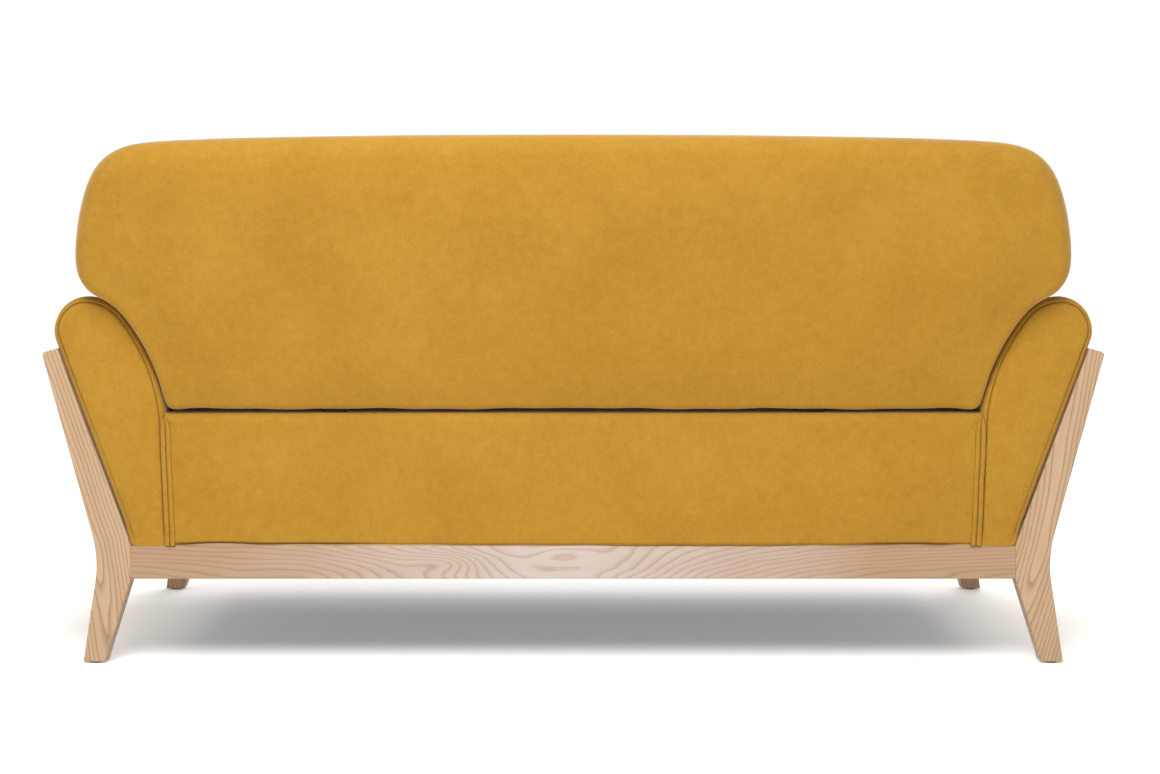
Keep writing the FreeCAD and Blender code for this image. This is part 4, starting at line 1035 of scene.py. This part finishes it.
def stitches(name, path, facing):
    """A row of short thread stitches along a path: each one a low six-sided bead, turned to the path."""
    count = int(step_lengths(path).sum() / STITCH_STEP)
    places = resample(path, 2 * count + 1, closed=False)
    middles = places[1::2]
    along = unit(places[2::2] - places[:-1:2])
    side = unit(np.cross(along, facing))
    up = np.cross(side, along)
    turn = np.linspace(0, 2 * math.pi, BEAD_AROUND, endpoint=False)
    lengthwise = np.array([-0.5, -0.32, 0.32, 0.5]) * STITCH_LONG
    wide = np.array([0.25, 1.0, 1.0, 0.25])[:, None] * STITCH_THICK
    bead = (
        middles[:, None, None, :]
        + along[:, None, None, :] * lengthwise[None, :, None, None]
        + side[:, None, None, :] * (np.cos(turn)[None, :] * wide)[None, :, :, None]
        + up[:, None, None, :] * (np.sin(turn)[None, :] * wide)[None, :, :, None]
    )
    base = np.arange(len(middles)) * BEAD_AROUND * BEAD_ALONG
    faces = (quads_of(BEAD_ALONG, BEAD_AROUND, True)[None] + base[:, None, None]).reshape(-1, 4).tolist()
    ends = (np.arange(BEAD_AROUND)[::-1], np.arange(BEAD_AROUND) + BEAD_AROUND * (BEAD_ALONG - 1))
    faces += [(first + end).tolist() for first in base for end in ends]
    piece = new_piece(name, bead.reshape(-1, 3).tolist(), faces)
    piece.data.shade_smooth()
    give(piece, thread_finish)
    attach(piece, BODY)


for side, sign in SIDES.items():
    z = np.linspace(RAIL_TOP + 0.004, BAND_TOP - 0.020, 60)
    for number, shift in enumerate((-0.0072, 0.0072)):
        path = np.stack([sign * (seat_x(z) + shift), np.full_like(z, REAR + 0.0020), z], axis=1)
        stitches(f"{side}_band_stitches_{number}", path, (0.0, 1.0, 0.0))

# ---------------------------------------------------------------- front apron and deck

# How far behind the apron's face the deck cloth starts.
DECK_START = 0.028


def make_apron():
    """The strip of cloth under the cushions: flat on its board, rolled at the top, a little full between."""
    top = deck_high[2]
    roll, hem = 0.005, 0.003
    low = RAIL_TOP + 0.0006
    profile = np.vstack([
        (ARM_FRONT + 0.008, low),
        arc((ARM_FRONT + hem, low + hem), hem, 270, 180, 6),
        arc((ARM_FRONT + roll, top - roll), roll, 180, 90),
        (ARM_FRONT + 0.030, top),
    ])
    profile = resample(profile, 60, closed=False)
    x, y, z, half = carried_across(profile, 300, 0.001)
    face = dab(z - (RAIL_TOP + 0.05), 0.03) * np.clip((half - np.abs(x)) / 0.03, 0, 1)
    front_side = np.clip((ARM_FRONT + 0.008 - y) / 0.008, 0, 1)
    full = (0.0018 + 0.0008 * wobble(61, x * 8, z * 12)) * face * front_side
    grid = np.stack([x, y - full, z + 0 * x], axis=-1)
    apron = grid_piece("front_apron", grid, flip=True)
    give(apron, velour_finish)
    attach(apron, BODY)
    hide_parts("front_apron_cover")


def make_deck():
    """The cloth under the cushions, stretched over its foam, with a little unevenness."""
    x = np.linspace(-1, 1, 160)[None, :] * (seat_x(deck_high[2]) - 0.001)
    y = np.linspace(ARM_FRONT + DECK_START, deck_high[1], 80)[:, None]
    z = deck_high[2] - 0.0006 + 0.0005 * wobble(62, x * 9, y * 14)
    grid = np.stack([x + 0 * y, y + 0 * x, z], axis=-1)
    deck = grid_piece("deck_sheet", grid)
    give(deck, velour_finish)
    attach(deck, BODY)
    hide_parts("deck_cloth")


make_apron()
make_deck()

# ---------------------------------------------------------------- seat cushions

CUSHION_AROUND = 420
WELT_R = 0.0033
cushion_moves = {}


def rounded_plan(low, high, radius, count):
    """Rectangle with rounded corners in X and Y, anticlockwise."""
    corners = (
        (high[0] - radius, low[1] + radius, -90),
        (high[0] - radius, high[1] - radius, 0),
        (low[0] + radius, high[1] - radius, 90),
        (low[0] + radius, low[1] + radius, 180),
    )
    return resample(np.vstack([arc((x, y), radius, start, start + 90, 30) for x, y, start in corners]), count)


def make_cushion(side, sign):
    """Loose cushion: a strip between two welts, sides pulled in between corners, both faces crowned."""
    low, high = pad_low, pad_high
    plan = rounded_plan(low[:2] + 0.006, high[:2] - 0.006, 0.045, CUSHION_AROUND)
    normal = outward(plan)
    middle = (low[:2] + high[:2]) / 2
    corners = np.array([(x, y) for x in (low[0], high[0]) for y in (low[1], high[1])])
    at_corner = dab(np.linalg.norm(plan[None] - corners[:, None], axis=-1).min(axis=0), 0.11)
    welt_low = low[2] + 0.016
    welt_high = high[2] - 0.022
    seed = 71 if side == "left" else 72
    around = np.arange(CUSHION_AROUND) / CUSHION_AROUND
    pinch = 0.003 * (1 - at_corner)
    ring = plan - normal * pinch[:, None]
    dip = 0.0012 * wobble(seed, around * 60)
    share = np.linspace(0, 1, 17)
    belly = 0.0085 * np.sin(share * math.pi)[:, None] * (0.45 + 0.55 * (1 - at_corner))[None]
    wall_z = welt_low + (welt_high - welt_low) * share[:, None] + dip[None] * 0.6
    belly = belly + 0.0008 * wobble(seed + 1, around[None] * 90, share[:, None] * 4)
    wall = np.concatenate([ring[None] + normal[None] * belly[..., None], wall_z[..., None]], axis=-1)

    def face(start_z, way, rise_to, seed_here):
        """Rings to the pole: quick rise beside the welt, then a broad crown."""
        u = np.concatenate([np.linspace(0.0, 0.10, 9)[1:], np.linspace(0.10, 1.0, 40)[1:]])
        flat = ring[None] + (middle - ring)[None] * u[:, None, None]
        crown = 1 - np.exp(-np.maximum(from_edge(flat, ring) - 0.004, 0) / 0.055)
        ripple = 0.0016 * wobble(seed_here, flat[..., 0] * 10, flat[..., 1] * 10)
        ripple = ripple * np.minimum(u * 6, 1)[:, None]
        crease = 0.0010 * wobble(seed_here + 1, around * 170)[None] * dab(u - 0.045, 0.03)[:, None]
        start = start_z.mean() + (start_z - start_z.mean())[None] * np.exp(-u / 0.05)[:, None]
        z = start + way * (rise_to * crown + ripple + crease)
        z[-1] = z[-1].mean()
        return np.concatenate([flat, z[..., None]], axis=-1)

    top = face(wall_z[-1], 1.0, high[2] - welt_high + 0.006, seed + 2)
    bottom = face(wall_z[0], -1.0, welt_low - low[2] - 0.0005, seed + 4)
    bottom[..., 2] = np.maximum(bottom[..., 2], low[2])
    grid = np.concatenate([bottom[::-1], wall, top])
    grid[..., 0] *= sign
    if side == "left":
        held = np.zeros(grid.shape[:2], dtype=bool)
        held[: len(bottom) + 1] = True
        held[len(bottom) + len(share) - 1] = True
        most = np.full(grid.shape[:2], 0.0005)
        front_wall = np.clip(-normal[:, 1], 0, 1)
        most[len(bottom):len(bottom) + len(share)] += 0.006 * front_wall[None]
        most[len(bottom) + len(share):] = 0.014
        cushion_moves["left"] = settled(grid, held, most, 0.011) - grid
    grid = grid + cushion_moves["left"] * np.array([sign, 1.0, 1.0])
    cushion = grid_piece(f"{side}_cushion_pad", grid, wrap=True)
    give(cushion, velour_finish)
    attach(cushion, f"{side}_cushion")
    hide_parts(f"{side}_cushion_cover", f"{side}_cushion_core")
    for place, height in (("top", wall_z[-1]), ("bottom", wall_z[0])):
        path = np.concatenate([ring + normal * 0.0012, height[:, None]], axis=-1)
        path[:, 0] *= sign
        welt = closed_cord(f"{side}_cushion_{place}_welt", path, WELT_R)
        give(welt, velour_finish)
        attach(welt, f"{side}_cushion")


for side, sign in SIDES.items():
    make_cushion(side, sign)

# ---------------------------------------------------------------- studio

PALE = linear(244, 243, 241)
FLOOR_REACH = 30.0


def make_floor():
    """A wide pale floor that glows a little more from 3 m to 8 m out, so that it runs into the backdrop."""
    corners = [(x * FLOOR_REACH, y * FLOOR_REACH, 0) for x, y in ((-1, -1), (1, -1), (1, 1), (-1, 1))]
    floor = new_piece("studio_floor", corners, [(0, 1, 2, 3)])
    finish, tree, shader, place = start_finish("pale_floor")
    shader.inputs["Base Color"].default_value = PALE
    shader.inputs["Roughness"].default_value = 0.9
    shader.inputs["Specular IOR Level"].default_value = 0.1
    out = node(tree, "ShaderNodeVectorMath", {0: place}, operation="LENGTH").outputs["Value"]
    far = ranged(tree, out, 3.0, 8.0)
    near_glow = [value * 0.7 for value in PALE[:3]] + [1.0]
    tree.links.new(blend_colours(tree, far, near_glow, PALE), shader.inputs["Emission Color"])
    shader.inputs["Emission Strength"].default_value = 0.40
    give(floor, finish)


def soft_light(name, place, aim, size, power):
    """A square soft light that faces a point."""
    data = bpy.data.lights.new(name, "AREA")
    data.size = size
    data.energy = power
    lamp = placed(name, data)
    lamp.location = place
    way = np.array(aim) - np.array(place)
    yaw = math.atan2(way[1], way[0]) - math.pi / 2
    pitch = math.atan2(way[2], math.hypot(way[0], way[1])) + math.pi / 2
    lamp.rotation_euler = (pitch, 0.0, yaw)


make_floor()
soft_light("over_rear", (0.3, 2.1, 2.6), (0.0, 0.35, 0.6), 1.6, 84.0)
soft_light("over_front", (-0.6, -2.6, 2.6), (0.0, -0.2, 0.5), 2.4, 70.0)
sun_data = bpy.data.lights.new("ceiling", "SUN")
sun_data.energy = 1.3
sun_data.angle = math.radians(70)
sun = placed("ceiling", sun_data)
sun.rotation_euler = (math.radians(-8), 0.0, 0.0)
world = bpy.data.worlds.new("studio")
bpy.context.scene.world = world
world.use_nodes = True
sky = world.node_tree
room = sky.nodes["Background"]
room.inputs["Color"].default_value = (1.0, 1.0, 1.0, 1.0)
seen = sky.nodes.new("ShaderNodeLightPath").outputs["Is Camera Ray"]
sky.links.new(math_node(sky, "MULTIPLY_ADD", seen, 0.66, 0.36), room.inputs["Strength"])
bpy.context.scene.view_settings.view_transform = "Standard"

camera_data = bpy.data.cameras.new("camera")
camera = placed("camera", camera_data)
camera_data.sensor_width = 36.0
camera_data.lens = 59.8
camera_data.shift_x = 0.0058
camera_data.shift_y = -0.1376
camera.location = (0.0, REAR + 3.21, 0.7267)
camera.rotation_euler = (math.pi / 2, 0.0, math.pi)
bpy.context.scene.camera = camera
